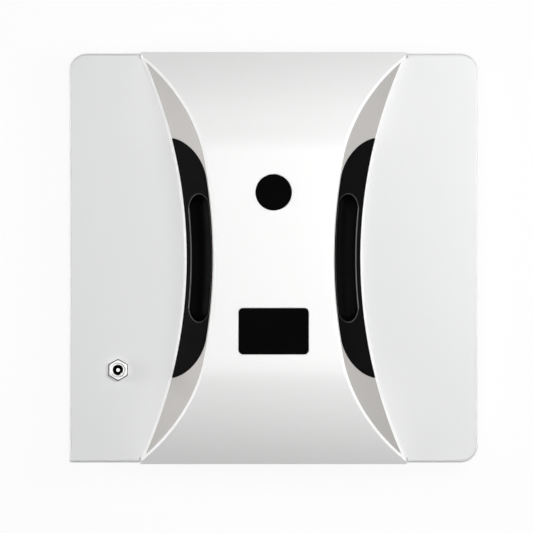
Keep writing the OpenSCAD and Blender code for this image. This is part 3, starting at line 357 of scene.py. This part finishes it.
WING_WHITE = white_moulding("wing_white", (0.775, 0.78, 0.78), (0.785, 0.79, 0.79))
BRIDGE_WHITE = white_moulding("bridge_white", (0.94, 0.94, 0.935), (0.95, 0.95, 0.945))
BASE_WHITE = shade("base_white", (0.70, 0.70, 0.69), (0.76, 0.76, 0.75), (0.5, 0.62),
                   grain=2200.0, depth=6e-6)
TRIM_SILVER = silver_paint("trim_silver")
GRIP_BLACK = shade("grip_black", (0.0012, 0.0012, 0.0013), (0.0020, 0.0020, 0.0022),
                   (0.42, 0.52), grain=3000.0, depth=5e-6, IOR=1.08)
# Painted highlight: a lighter grey laid on the rounded outline of the grips' finger scoops,
# standing in for the light their lips catch
GRIP_SCOOP_HIGHLIGHT = shade("grip_scoop_painted_highlight", (0.045, 0.045, 0.046), (0.07, 0.07, 0.072), (0.3, 0.4),
                  grain=3000.0, depth=2e-6)
GLOSS_BLACK = polished_black("gloss_black")
INNER_GREY = shade("inner_grey", (0.10, 0.105, 0.11), (0.14, 0.145, 0.15), (0.45, 0.6),
                   grain=1800.0, depth=5e-6, wear=(0.2, 0.2, 0.21))
WHEEL_BLACK = shade("wheel_black", (0.012, 0.012, 0.013), (0.022, 0.022, 0.024), (0.4, 0.55),
                    grain=1600.0, depth=5e-6, wear=(0.05, 0.05, 0.05))
STEEL = turned_metal("steel", (0.50, 0.51, 0.53), (0.62, 0.63, 0.65))
MOTOR_STEEL = turned_metal("motor_steel", (0.42, 0.43, 0.45), (0.55, 0.56, 0.58),
                           (0.3, 0.45), (0.1, 1, 1))
NICKEL = shade("nickel", (0.88, 0.88, 0.87), (0.96, 0.96, 0.95), (0.32, 0.42), mottle=60.0,
               grain=900.0, depth=1.5e-6, Metallic=0.55)
# Painted shade: near black laid on the nut's broken top edge, standing in for the shade that
# outlines it
NUT_EDGE_SHADE = shade("nut_edge_painted_shade", (0.03, 0.03, 0.03), (0.07, 0.07, 0.07), (0.4, 0.5),
                    mottle=60.0, grain=900.0, depth=1.5e-6)
BRASS = turned_metal("brass", (0.62, 0.46, 0.20), (0.76, 0.60, 0.30))
GEAR_IVORY = shade("gear_ivory", (0.74, 0.70, 0.60), (0.82, 0.79, 0.70), (0.35, 0.5))
BELT_RUBBER = shade("belt_rubber", (0.014, 0.014, 0.015), (0.03, 0.03, 0.031), (0.6, 0.78),
                    mottle=60.0, grain=1500.0, depth=1.5e-5, wear=(0.07, 0.07, 0.07))
PAD_PILE = microfibre("pad_pile", (0.62, 0.65, 0.68), (0.80, 0.82, 0.84))
BINDING_GREY = shade("binding_grey", (0.16, 0.17, 0.18), (0.22, 0.23, 0.24), (0.75, 0.9),
                     mottle=120.0, grain=3200.0, depth=4e-5, Sheen_Weight=0.3)
THREAD_GREY = shade("thread_grey", (0.50, 0.52, 0.54), (0.62, 0.64, 0.66), (0.6, 0.75),
                    mottle=300.0, grain=4000.0, depth=2e-5)
HOOK_GREY = shade("hook_grey", (0.05, 0.05, 0.055), (0.11, 0.11, 0.12), (0.75, 0.9),
                  mottle=600.0, grain=2600.0, depth=8e-5)
BOARD_GREEN = shade("board_green", (0.012, 0.09, 0.035), (0.02, 0.13, 0.055), (0.25, 0.35),
                    mottle=200.0)
CHIP_BLACK = shade("chip_black", (0.01, 0.01, 0.011), (0.025, 0.025, 0.027), (0.4, 0.55))
CELL_WRAP = shade("cell_wrap", (0.02, 0.09, 0.24), (0.03, 0.12, 0.30), (0.2, 0.3))


# Meshes

def opened(*given):
    """A mesh to work on that holds the given ones"""
    mesh = bmesh.new()
    for data in given:
        mesh.from_mesh(data)
    return mesh


def mesh_of(name, mesh):
    """The plain mesh of one that is worked on"""
    data = bpy.data.meshes.new(name)
    mesh.to_mesh(data)
    mesh.free()
    return data


def merged(node, split=True):
    """A node's solid as one closed surface, its flat faces joined up"""
    mesh = opened(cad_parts[node].data)
    bmesh.ops.remove_doubles(mesh, verts=mesh.verts, dist=WELD)
    bmesh.ops.dissolve_degenerate(mesh, edges=mesh.edges, dist=WELD)
    bmesh.ops.dissolve_limit(
        mesh, angle_limit=FLAT_TURN, verts=mesh.verts, edges=mesh.edges)
    if split:
        wide = [face for face in mesh.faces if len(face.verts) > 4]
        bmesh.ops.triangulate(mesh, faces=wide)
    return mesh


def piece(name, mesh, material, body):
    """A finished mesh as a piece of the robot that rides on a body"""
    data = mesh_of(name, mesh)
    made = bpy.data.objects.new(name, data)
    bpy.context.scene.collection.objects.link(made)
    data.materials.append(material)
    data.polygons.foreach_set("use_smooth", [True] * len(data.polygons))
    data.set_sharp_from_angle(angle=SMOOTH_TURN)
    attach(made, body)
    return made


def weigh_edges(made, bevel, wanted):
    """Leaves only the turned edges that are wanted to be rounded"""
    mesh = opened(made.data)
    weights = [1.0 if edge.calc_face_angle(0) > EDGE_TURN and wanted(edge) else 0.0
               for edge in mesh.edges]
    mesh.free()
    weight = made.data.attributes.new("bevel_weight_edge", "FLOAT", "EDGE")
    weight.data.foreach_set("value", weights)
    bevel.limit_method = "WEIGHT"


def off_the_tips(edge):
    """Whether an edge of the bridge lies clear of its four pointed ends"""
    return not any(abs(v.co.x) > TIP_X and abs(v.co.y) > TIP_Y for v in edge.verts)


def round_the_scoop(edge):
    """Whether an edge of a grip is the outline of its finger scoop, which is rounded and
    painted lighter as a highlight
    """
    return edge.is_convex and all(abs(v.co.y) < SCOOP_REACH and SCOOP_LOW < v.co.z < SCOOP_HIGH
                                  for v in edge.verts)


def rounded(node, material, width, body="housing", split=True, wanted=None):
    """A node's solid with its edges rounded, in place of the node"""
    made = piece(node + "_moulding", merged(node, split), material, body)
    bevel = made.modifiers.new("edges", "BEVEL")
    bevel.width = width
    bevel.segments = ROUND_STEPS
    bevel.limit_method = "ANGLE"
    bevel.angle_limit = EDGE_TURN
    bevel.use_clamp_overlap = False
    bevel.loop_slide = False
    bevel.miter_outer = "MITER_ARC"
    if wanted:
        weigh_edges(made, bevel, wanted)
    even = made.modifiers.new("even", "WEIGHTED_NORMAL")
    even.keep_sharp = True
    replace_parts(made, node)
    return made


def paint(material, *nodes):
    """Each node keeps its own mesh and takes a material"""
    for node in nodes:
        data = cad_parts[node].data
        data.materials.clear()
        data.materials.append(material)


def both(name):
    return ["left_" + name, "right_" + name]


def centre_of(node):
    low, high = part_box(node)
    return (low + high) / 2


def band(mesh, low, high):
    """Faces from one ring of corners to the next"""
    for i in range(len(low)):
        j = (i + 1) % len(low)
        mesh.faces.new((low[i], low[j], high[j], high[i]))


def ring(mesh, radius, z, sides, shift=0):
    """New corners on a level circle, moved along x by a shift"""
    return [mesh.verts.new((shift + radius * math.cos(a), radius * math.sin(a), z))
            for a in (math.tau * k / sides for k in range(sides))]


def tube(rings, close=True):
    """A surface from rings of as many points, the last one joined to the first to close it"""
    mesh = bmesh.new()
    rows = [[mesh.verts.new(point) for point in points] for points in rings]
    for low, high in zip(rows, rows[1:] + rows[:1] if close else rows[1:]):
        band(mesh, low, high)
    bmesh.ops.recalc_face_normals(mesh, faces=mesh.faces)
    return mesh


def rod(rings):
    """A tube whose two ends are filled"""
    mesh = tube(rings, close=False)
    bmesh.ops.holes_fill(mesh, edges=mesh.edges)
    bmesh.ops.recalc_face_normals(mesh, faces=mesh.faces)
    return mesh


# What repeats: copies of one piece at many points

def socket_key(tree, name):
    return next(item.identifier for item in tree.interface.items_tree
                if item.item_type == "SOCKET" and item.name == name)


def repeat_tree(name, grow):
    """A node tree that sets a copy of one piece at each point that grow makes"""
    tree = bpy.data.node_groups.new(name, "GeometryNodeTree")
    for key, kind in (("Geometry", "Geometry"), ("Piece", "Object"), ("Density", "Float"),
                      ("Material", "Material")):
        tree.interface.new_socket(key, in_out="INPUT", socket_type="NodeSocket" + kind)
    tree.interface.new_socket("Geometry", in_out="OUTPUT", socket_type="NodeSocketGeometry")
    start = add(tree, "NodeGroupInput")
    points, turn, size = grow(tree, start)
    info = add(tree, "GeometryNodeObjectInfo")
    link(tree, start.outputs["Piece"], info.inputs["Object"])
    put = add(tree, "GeometryNodeInstanceOnPoints")
    link(tree, points, put.inputs["Points"])
    link(tree, info.outputs["Geometry"], put.inputs["Instance"])
    link(tree, turn, put.inputs["Rotation"])
    if size is not None:
        link(tree, size, put.inputs["Scale"])
    real = add(tree, "GeometryNodeRealizeInstances")
    link(tree, put.outputs["Instances"], real.inputs["Geometry"])
    coat = add(tree, "GeometryNodeSetMaterial")
    link(tree, real.outputs["Geometry"], coat.inputs["Geometry"])
    link(tree, start.outputs["Material"], coat.inputs["Material"])
    end = add(tree, "NodeGroupOutput")
    link(tree, coat.outputs["Geometry"], end.inputs["Geometry"])
    return tree


def each_vertex(tree, start):
    """A copy at each vertex, turned by the attribute turn and left at its own size"""
    turn = add(tree, "GeometryNodeInputNamedAttribute", data_type="FLOAT_VECTOR")
    turn.inputs["Name"].default_value = "turn"
    points = add(tree, "GeometryNodeMeshToPoints")
    link(tree, start.outputs["Geometry"], points.inputs["Mesh"])
    return points.outputs["Points"], turn.outputs["Attribute"], None


def over_faces(tree, start):
    """Copies scattered over the faces, standing on them, each turned and sized by chance"""
    scatter = add(tree, "GeometryNodeDistributePointsOnFaces")
    link(tree, start.outputs["Geometry"], scatter.inputs["Mesh"])
    link(tree, start.outputs["Density"], scatter.inputs["Density"])
    scatter.inputs["Seed"].default_value = PILE_SEED
    spin = add(tree, "FunctionNodeRandomValue", data_type="FLOAT_VECTOR")
    spin.inputs["Min"].default_value = (-LEAN, -LEAN, 0.0)
    spin.inputs["Max"].default_value = (LEAN, LEAN, math.tau)
    spin.inputs["Seed"].default_value = LEAN_SEED
    turn = add(tree, "FunctionNodeRotateRotation", rotation_space="LOCAL")
    link(tree, scatter.outputs["Rotation"], turn.inputs["Rotation"])
    link(tree, spin.outputs["Value"], turn.inputs["Rotate By"])
    size = add(tree, "FunctionNodeRandomValue", data_type="FLOAT")
    low, high = [item for item in size.inputs if item.type == "VALUE"][:2]
    low.default_value = SHORTEST
    high.default_value = 1.0
    size.inputs["Seed"].default_value = LENGTH_SEED
    value = next(item for item in size.outputs if item.type == "VALUE")
    return scatter.outputs["Points"], turn.outputs["Rotation"], value


def repeated(name, base, part, material, grow, density=0.0):
    """The plain mesh that a repeat tree makes from a base mesh and one part"""
    carrier = bpy.data.objects.new(name + "_base", base)
    stamp = bpy.data.objects.new(name + "_one", part)
    scene = bpy.context.scene.collection
    scene.objects.link(carrier)
    scene.objects.link(stamp)
    tree = repeat_tree(name + "_repeat", grow)
    modifier = carrier.modifiers.new("repeat", "NODES")
    modifier.node_group = tree
    modifier[socket_key(tree, "Piece")] = stamp
    modifier[socket_key(tree, "Density")] = density
    modifier[socket_key(tree, "Material")] = material
    view = bpy.context.evaluated_depsgraph_get()
    made = bpy.data.meshes.new_from_object(carrier.evaluated_get(view))
    bpy.data.objects.remove(carrier)
    bpy.data.objects.remove(stamp)
    made.name = name
    return made


def points_mesh(name, places, turns):
    """Loose vertices, each with the turn that its copy takes"""
    data = bpy.data.meshes.new(name)
    data.from_pydata(places, [], [])
    turn = data.attributes.new("turn", "FLOAT_VECTOR", "POINT")
    turn.data.foreach_set("vector", [value for one in turns for value in one])
    return data


# Camera, lamps and surroundings

def set_camera():
    data = bpy.data.cameras.new("camera")
    data.sensor_width = SENSOR
    data.lens = SENSOR * CAMERA_RISE / VIEW_WIDTH
    data.clip_end = 2 * CAMERA_RISE
    made = bpy.data.objects.new("camera", data)
    made.location = (AIM[0], AIM[1], AIM[2] + CAMERA_RISE)
    bpy.context.scene.collection.objects.link(made)
    bpy.context.scene.camera = made


def add_lamp(name, place, size, power):
    """A soft disk that shines at the robot's middle and isn't seen itself"""
    data = bpy.data.lights.new(name, "AREA")
    data.shape = "DISK"
    data.size = size
    data.energy = power
    made = bpy.data.objects.new(name, data)
    made.location = place
    way = Vector((0, 0, AIM[2])) - made.location
    made.rotation_euler = way.to_track_quat("-Z", "Y").to_euler()
    made.visible_camera = False
    bpy.context.scene.collection.objects.link(made)


def seen_ray(tree):
    """One where the camera looks, a share where a glossy or clear surface does, else nought"""
    path = add(tree, "ShaderNodeLightPath").outputs
    mirror = maths(tree, "MAXIMUM", path["Is Glossy Ray"], path["Is Transmission Ray"])
    share = maths(tree, "MULTIPLY", mirror, MIRRORED)
    return maths(tree, "MAXIMUM", path["Is Camera Ray"], share)


def set_world():
    """A white backdrop under a darker ceiling, and a soft fill that is stronger from below"""
    world = bpy.data.worlds.new("studio")
    bpy.context.scene.world = world
    world.use_nodes = True
    tree = world.node_tree
    shader = tree.nodes["Background"]
    shader.inputs["Color"].default_value = (1, 1, 1, 1)
    way = add(tree, "ShaderNodeTexCoord").outputs["Generated"]
    split = add(tree, "ShaderNodeSeparateXYZ")
    link(tree, way, split.inputs["Vector"])
    height = split.outputs["Z"]
    look = spread(tree, height, BACKDROP, CEILING, start=0.0, end=CEILING_FROM)
    fill = spread(tree, height, UNDER_FILL, FILL, start=-HORIZON, end=HORIZON)
    pick = add(tree, "ShaderNodeMix", data_type="FLOAT")
    link(tree, seen_ray(tree), pick.inputs["Factor"])
    link(tree, fill, pick.inputs["A"])
    link(tree, look, pick.inputs["B"])
    link(tree, pick.outputs["Result"], shader.inputs["Strength"])


def floor_white():
    """Matt white that glows where it is looked at and is clear from behind"""
    material, tree, shader, place = blank("floor_white")
    tone = spread(tree, noise(tree, place, scale=3.0, detail=2.0), 0, 1)
    link(tree, mixed(tree, tone, (0.90, 0.90, 0.90), (0.93, 0.93, 0.93)),
         shader.inputs["Base Color"])
    shader.inputs["Roughness"].default_value = 0.9
    shader.inputs["Specular IOR Level"].default_value = 0.0
    glow = add(tree, "ShaderNodeEmission")
    lit = add(tree, "ShaderNodeMixShader")
    link(tree, maths(tree, "MULTIPLY", seen_ray(tree), FLOOR_GLOW), lit.inputs["Fac"])
    link(tree, shader.outputs["BSDF"], lit.inputs[1])
    link(tree, glow.outputs["Emission"], lit.inputs[2])
    clear = add(tree, "ShaderNodeBsdfTransparent")
    side = add(tree, "ShaderNodeMixShader")
    link(tree, add(tree, "ShaderNodeNewGeometry").outputs["Backfacing"], side.inputs["Fac"])
    link(tree, lit.outputs["Shader"], side.inputs[1])
    link(tree, clear.outputs["BSDF"], side.inputs[2])
    link(tree, side.outputs["Shader"], tree.nodes["Material Output"].inputs["Surface"])
    return material


def set_floor():
    """A pale floor that keeps the shadow; from below it lets the view through"""
    mesh = bmesh.new()
    bmesh.ops.create_grid(mesh, x_segments=1, y_segments=1, size=FLOOR_SIZE / 2)
    made = bpy.data.objects.new("floor", mesh_of("floor", mesh))
    bpy.context.scene.collection.objects.link(made)
    made.data.materials.append(floor_white())
    made.visible_shadow = False
    made.visible_diffuse = False


# Shells, trims, grips, window and button

def dress_shells():
    rounded("top_shell", WING_WHITE, SHELL_ROUND)
    rounded("bridge_cover", BRIDGE_WHITE, SHELL_ROUND, wanted=off_the_tips)
    rounded("base_plate", BASE_WHITE, PLATE_ROUND, split=False)
    for node in both("side_trim"):
        rounded(node, TRIM_SILVER, PANEL_ROUND)
    for node in both("grip_insert"):
        grip = rounded(node, GRIP_BLACK, GRIP_ROUND, wanted=round_the_scoop)
        # The rounded outline of each finger scoop takes the lighter grey, a painted highlight
        # on its lips
        grip.data.materials.append(GRIP_SCOOP_HIGHLIGHT)
        grip.modifiers["edges"].material = 1
    rounded("display_window", GLOSS_BLACK, PANEL_ROUND)
    rounded("power_button", GLOSS_BLACK, PLATE_ROUND, body="power_button")


# Power inlet

def circle_at(centre, radius, z):
    """Points on a level ring, whose radius is a function of the angle"""
    return [(centre.x + radius(a) * math.cos(a), centre.y + radius(a) * math.sin(a), z)
            for a in (math.tau * i / CIRCLE_SIDES for i in range(CIRCLE_SIDES))]


def hex_nut():
    """The inlet's hexagon nut, its top edge broken by a fine line of painted shade"""
    low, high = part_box("jack_nut")
    centre = centre_of("jack_nut")
    flat = min(high.x - low.x, high.y - low.y) / 2
    bore = BARREL_R + THREAD_RISE / 4
    sixth = math.tau / 6
    lead = 0 if high.x - low.x > high.y - low.y else sixth / 2

    def hexagon(inset):
        return lambda a: (flat - inset) / math.cos((a - lead) % sixth - sixth / 2)

    levels = [(low.z, lambda a: bore), (low.z, hexagon(0)),
              (high.z - NUT_CORNER, hexagon(0)), (high.z, hexagon(NUT_LINE)),
              (high.z, lambda a: bore + NUT_CORNER), (high.z - NUT_CORNER, lambda a: bore)]
    mesh = tube([circle_at(centre, radius, z) for z, radius in levels])
    # The broken edge's faces take the second material, a dark painted shade that outlines the
    # nut
    painted_shade_faces = list(mesh.faces)[2 * CIRCLE_SIDES:3 * CIRCLE_SIDES]
    for face in painted_shade_faces:
        face.material_index = 1
    return mesh


def threaded_barrel():
    """The inlet's body with its thread above the shell and a chamfered mouth"""
    low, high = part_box("jack_barrel")
    centre = centre_of("jack_barrel")
    body = (high.x - low.x) / 2
    roof = max(v.co.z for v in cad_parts["jack_barrel"].data.vertices
               if (v.co - centre).xy.length > (BARREL_R + body) / 2)
    levels = int((high.z - roof) / THREAD_PITCH * THREAD_STEPS)

    def rib(angle, z):
        spot = (z / THREAD_PITCH - angle / math.tau) % 1
        fade = min(1, (high.z - z) / THREAD_PITCH)
        return BARREL_R - THREAD_RISE * abs(2 * spot - 1) - THREAD_RISE * (1 - fade)

    rings = [circle_at(centre, lambda a: BORE_R, low.z),
             circle_at(centre, lambda a: body, low.z),
             circle_at(centre, lambda a: body, roof)]
    for k in range(levels + 1):
        z = roof + (high.z - roof) * k / levels
        rings.append(circle_at(centre, lambda a, z=z: rib(a, z), z))
    rings.append(circle_at(centre, lambda a: BORE_R + THREAD_RISE, high.z))
    rings.append(circle_at(centre, lambda a: BORE_R, high.z - THREAD_RISE))
    return tube(rings)


def contact_leaf():
    """The sprung contact that shows inside the inlet's bore"""
    centre = centre_of("jack_barrel")
    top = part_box("jack_barrel")[1].z
    side = Vector((math.cos(LEAF_TURN), math.sin(LEAF_TURN), 0))
    across = Vector((-side.y, side.x, 0))
    section = ((-LEAF_W / 2, 0), (LEAF_W / 2, 0), (LEAF_W / 2, LEAF_T), (-LEAF_W / 2, LEAF_T))
    rows = []
    for step in range(LEAF_STEPS + 1):
        share = step / LEAF_STEPS
        out = BORE_R - LEAF_T - LEAF_BOW * math.sin(math.pi * share) ** 2
        z = top - LEAF_UNDER - LEAF_L * share
        middle = Vector((centre.x, centre.y, z)) + side * out
        rows.append([middle + across * w + side * t for w, t in section])
    return rod(rows)


def dress_inlet():
    nut = piece("jack_hex_nut", hex_nut(), NICKEL, "housing")
    # Second material: the dark painted shade on the nut's top edge
    nut.data.materials.append(NUT_EDGE_SHADE)
    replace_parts(nut, "jack_nut")
    barrel = piece("jack_threaded_barrel", threaded_barrel(), NICKEL, "housing")
    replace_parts(barrel, "jack_barrel")
    piece("jack_contact_leaf", contact_leaf(), NICKEL, "housing")
    rounded("jack_pin", NICKEL, METAL_ROUND)
    paint(GRIP_BLACK, "jack_insulator")


# Cleaning pad

def pad_space():
    """Outer half, half width and half length of the opening, and the top of the pad's space"""
    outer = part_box("cleaning_pad")[1]
    inside = [v.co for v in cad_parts["cleaning_pad"].data.vertices
              if max(abs(v.co.x), abs(v.co.y)) < PAD_HOLE_REACH]
    return outer.x, max(abs(p.x) for p in inside), max(abs(p.y) for p in inside), outer.z


PAD_HALF, PAD_HOLE_X, PAD_HOLE_Y, PAD_TOP = pad_space()


def rounded_path(half_x, half_y, radius):
    """Points round a rounded rectangle, corner by corner"""
    middles = [Vector((sx * (half_x - radius), sy * (half_y - radius)))
               for sx, sy in ((1, 1), (-1, 1), (-1, -1), (1, -1))]
    out = []
    for i, middle in enumerate(middles):
        for k in range(PAD_CORNER_STEPS + 1):
            angle = i * math.tau / 4 + math.tau / 4 * k / PAD_CORNER_STEPS
            way = Vector((math.cos(angle), math.sin(angle)))
            out.append(middle + way * radius)
        last = out[-1]
        ahead = middles[(i + 1) % len(middles)] + way * radius
        for k in range(1, PAD_STRAIGHT_STEPS):
            out.append(last.lerp(ahead, k / PAD_STRAIGHT_STEPS))
    return out


def pad_edges():
    """Pairs of a point on the edge of the opening and the one abreast on the outer edge"""
    half = PAD_HALF - PAD_SIDE_PILE
    outside = rounded_path(half, half, PAD_OUT_R - PAD_SIDE_PILE)
    inside = rounded_path(PAD_HOLE_X + PAD_SIDE_PILE, PAD_HOLE_Y + PAD_SIDE_PILE, PAD_IN_R)
    return list(zip(inside, outside))


def pad_point(inner, outer, turn, lift=0.0):
    """A point of the pad's crowned cross-section, from its inner to its outer edge"""
    across = math.copysign(abs(math.cos(turn)) ** PAD_SIDE_POWER, math.cos(turn))
    up = math.copysign(abs(math.sin(turn)) ** PAD_CROWN_POWER, math.sin(turn))
    half_t = (PAD_TOP - PILE_L) / 2
    spot = inner.lerp(outer, (1 + across * (1 + lift / PAD_HALF_BAND)) / 2)
    return (spot.x, spot.y, PILE_L + half_t + (half_t + lift) * up)


def pad_core():
    """The felt ring that carries the pile"""
    turns = [math.tau * k / PAD_PROFILE for k in range(PAD_PROFILE)]
    return tube([[pad_point(inner, outer, turn) for turn in turns]
                 for inner, outer in pad_edges()])


def tuft():
    """One tuft of pile: a three-sided bent spike"""
    mesh = bmesh.new()
    foot = ring(mesh, TUFT_R, 0, TUFT_SIDES)
    waist = ring(mesh, TUFT_WAIST_R * TUFT_R, TUFT_WAIST_L * PILE_L, TUFT_SIDES,
                 shift=TUFT_R * TUFT_WAIST_LEAN)
    tip = mesh.verts.new((TUFT_R, 0, TUFT_TIP_L * PILE_L))
    band(mesh, foot, waist)
    for i in range(TUFT_SIDES):
        mesh.faces.new((waist[i], waist[(i + 1) % TUFT_SIDES], tip))
    return mesh_of("tuft", mesh)


def pile_ground(core):
    """The faces that carry pile: the underside and the opening's side, not the binding"""
    mesh = opened(core)
    mesh.normal_update()
    edge = PAD_HALF - BINDING_W
    gone = [face for face in mesh.faces
            if face.normal.z > PILE_SLOPE
            or max(abs(face.calc_center_median().x), abs(face.calc_center_median().y)) > edge]
    bmesh.ops.delete(mesh, geom=gone, context="FACES")
    return mesh_of("pile_ground", mesh)


def binding():
    """The tape round the pad's outer edge"""
    turns = [BINDING_SPAN * (k / BINDING_STEPS - 1) for k in range(2 * BINDING_STEPS + 1)]
    return tube([[pad_point(inner, outer, turn, BINDING_T) for turn in turns]
                 + [pad_point(inner, outer, turn, -BINDING_T) for turn in reversed(turns)]
                 for inner, outer in pad_edges()])


def stitch(length, radius):
    """A short thread that dips in at both ends"""
    turns = [math.tau * k / STITCH_SIDES for k in range(STITCH_SIDES)]
    rings = [[(x * length, radius * share * math.cos(a),
               radius * share * math.sin(a) + radius * (share - 1)) for a in turns]
             for x, share in STITCH_PROFILE]
    return mesh_of("stitch", rod(rings))


def stitches():
    """The thread along the binding's inner edge, on the underside"""
    line = [Vector(pad_point(inner, outer, -BINDING_SPAN * STITCH_LINE, BINDING_T))
            for inner, outer in pad_edges()]
    places, turns, left = [], [], 0.0
    for here, ahead in zip(line, line[1:] + line[:1]):
        run = ahead - here
        if run.length < WELD:
            continue
        while left < run.length:
            places.append(here + run * (left / run.length))
            turns.append((math.pi, 0, math.atan2(run.y, run.x)))
            left += STITCH_PITCH
        left -= run.length
    return repeated("pad_stitches", points_mesh("stitch_points", places, turns),
                    stitch(STITCH_L, STITCH_R), THREAD_GREY, each_vertex)


def dress_pad():
    core = mesh_of("pad_core", pad_core())
    core.materials.append(PAD_PILE)
    pile = repeated("pad_pile", pile_ground(core), tuft(), PAD_PILE, over_faces, PILE_DENSITY)
    pad = piece("microfibre_pad", opened(core, pile), PAD_PILE, "housing")
    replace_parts(pad, "cleaning_pad")
    piece("pad_binding", binding(), BINDING_GREY, "housing")
    piece("pad_stitches", opened(stitches()), THREAD_GREY, "housing")


# Belts

def tread_bar(width):
    """One bar of the tread, its top edges chamfered"""
    mesh = bmesh.new()
    bmesh.ops.create_cube(mesh, size=1)
    bmesh.ops.scale(mesh, vec=(width, TREAD_L, 2 * TREAD_H), verts=mesh.verts)
    upper = [edge for edge in mesh.edges if all(v.co.z > 0 for v in edge.verts)]
    bmesh.ops.bevel(mesh, geom=upper, offset=TREAD_H * TREAD_CHAMFER,
                    segments=TREAD_CHAMFER_STEPS, affect="EDGES")
    return mesh_of("tread_bar", mesh)


def belt_spot(way, half_run, radius):
    """How far along the robot a way round the belt leads, and which direction is out there"""
    straight = 2 * half_run
    bend = math.pi * radius
    if way < straight:
        return way - half_run, (0, 1)
    if way < straight + bend:
        angle = (way - straight) / radius
        return half_run, (math.sin(angle), math.cos(angle))
    if way < 2 * straight + bend:
        return half_run - (way - straight - bend), (0, -1)
    angle = (way - 2 * straight - bend) / radius
    return -half_run, (-math.sin(angle), -math.cos(angle))


def dress_belt(side):
    """A belt whose back is let in by the tread's height, with the tread's bars on it"""
    node = side + "_track_belt"
    low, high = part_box(node)
    middle = centre_of(node)
    radius = (high.z - low.z) / 2
    half_run = (high.y - low.y) / 2 - radius
    mesh = merged(node)
    for vertex in mesh.verts:
        y = max(-half_run, min(half_run, vertex.co.y - middle.y))
        out = Vector((0, vertex.co.y - middle.y - y, vertex.co.z - middle.z))
        if out.length > radius - TREAD_H:
            vertex.co -= out.normalized() * TREAD_H
    around = 4 * half_run + 2 * math.pi * radius
    back = radius - TREAD_H
    places, turns = [], []
    for i in range(TREAD_COUNT):
        y, out = belt_spot(around * i / TREAD_COUNT, half_run, radius)
        places.append((middle.x, middle.y + y + out[0] * back, middle.z + out[1] * back))
        turns.append((math.atan2(-out[0], out[1]), 0, 0))
    tread = repeated(side + "_tread", points_mesh("tread_points", places, turns),
                     tread_bar(high.x - low.x - TREAD_L), BELT_RUBBER, each_vertex)
    mesh.from_mesh(tread)
    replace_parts(piece(side + "_belt", mesh, BELT_RUBBER, "housing"), node)


# Screws

def cross_screw(length):
    """A screw that stands on its head, with a cross recess in the head's face"""
    mesh = bmesh.new()
    rim = ring(mesh, SCREW_FACE * SCREW_HEAD_R, 0, SCREW_SIDES)
    arm = [(RECESS_HALF, RECESS_ARM), (-RECESS_HALF, RECESS_ARM), (-RECESS_HALF, RECESS_HALF)]
    cross = []
    for quarter in range(4):
        cross += arm
        arm = [(-y, x) for x, y in arm]
    mouth = [mesh.verts.new((x, y, 0)) for x, y in cross]
    bottom = [mesh.verts.new((RECESS_TAPER * x, RECESS_TAPER * y, RECESS_DEPTH))
              for x, y in cross]
    edges = [mesh.edges.new((loop[i], loop[(i + 1) % len(loop)]))
             for loop in (rim, mouth) for i in range(len(loop))]
    bmesh.ops.triangle_fill(mesh, edges=edges, use_beauty=True)
    band(mesh, mouth, bottom)
    mesh.faces.new(bottom)
    rows = [rim]
    for radius, z in SCREW_DOME:
        rows.append(ring(mesh, radius * SCREW_HEAD_R, z * SCREW_HEAD_H, SCREW_SIDES))
    for z in (SCREW_HEAD_H, length):
        rows.append(ring(mesh, SCREW_SHANK_R, z, SCREW_SIDES))
    for low, high in zip(rows, rows[1:]):
        band(mesh, low, high)
    mesh.faces.new(rows[-1])
    bmesh.ops.recalc_face_normals(mesh, faces=mesh.faces)
    return mesh_of("cross_screw", mesh)


def islands(node):
    """Lowest and highest corner of each separate solid of a node, always in one order"""
    mesh = opened(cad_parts[node].data)
    bmesh.ops.remove_doubles(mesh, verts=mesh.verts, dist=WELD)
    left = set(mesh.verts)
    out = []
    for first in mesh.verts:
        if first not in left:
            continue
        left.remove(first)
        reach = [first]
        group = []
        while reach:
            vertex = reach.pop()
            group.append(vertex.co.copy())
            for edge in vertex.link_edges:
                other = edge.other_vert(vertex)
                if other in left:
                    left.remove(other)
                    reach.append(other)
        out.append(tuple(Vector(pick(p[i] for p in group) for i in range(3))
                         for pick in (min, max)))
    mesh.free()
    return out


def dress_screws():
    solids = islands("shell_screws")
    places = [((low.x + high.x) / 2, (low.y + high.y) / 2, low.z) for low, high in solids]
    turns = [(0, 0, SCREW_TURN * i) for i in range(len(places))]
    length = solids[0][1].z - solids[0][0].z
    made = repeated("shell_screws_made", points_mesh("screw_points", places, turns),
                    cross_screw(length), STEEL, each_vertex)
    screws = piece("base_screws", opened(made), STEEL, "housing")
    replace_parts(screws, "shell_screws")


# Inner pieces

def dress_insides():
    paint(INNER_GREY, "switch_plunger", "tact_switch", "battery_strap", "fan_scroll",
          "fan_cover", "fan_impeller", "edge_switches", "inlet_grille",
          *both("track_frame"), *both("gear_cover"))
    paint(WHEEL_BLACK, *both("drive_sprocket"), *both("idler_wheel"),
          "top_left_feeler", "top_right_feeler", "bottom_left_feeler",
          "bottom_right_feeler")
    paint(STEEL, "fan_shaft", *both("drive_axle"), *both("motor_shaft"),
          *both("idler_axle"), "bridge_screws", "board_screws")
    paint(MOTOR_STEEL, "fan_motor", *both("gear_motor"))
    paint(BRASS, *both("final_gear"), *both("motor_pinion"))
    paint(GEAR_IVORY, *both("transfer_gear"))
    paint(HOOK_GREY, "hook_strips")
    paint(BOARD_GREEN, "main_board")
    paint(CHIP_BLACK, "board_parts")
    paint(CELL_WRAP, "battery_pack")


set_camera()
for lamp, (place, size, power) in LAMPS.items():
    add_lamp(lamp, place, size, power)
set_world()
set_floor()
bpy.context.scene.view_settings.view_transform = "Standard"

dress_shells()
dress_inlet()
dress_insides()
dress_pad()
dress_belt("left")
dress_belt("right")
dress_screws()
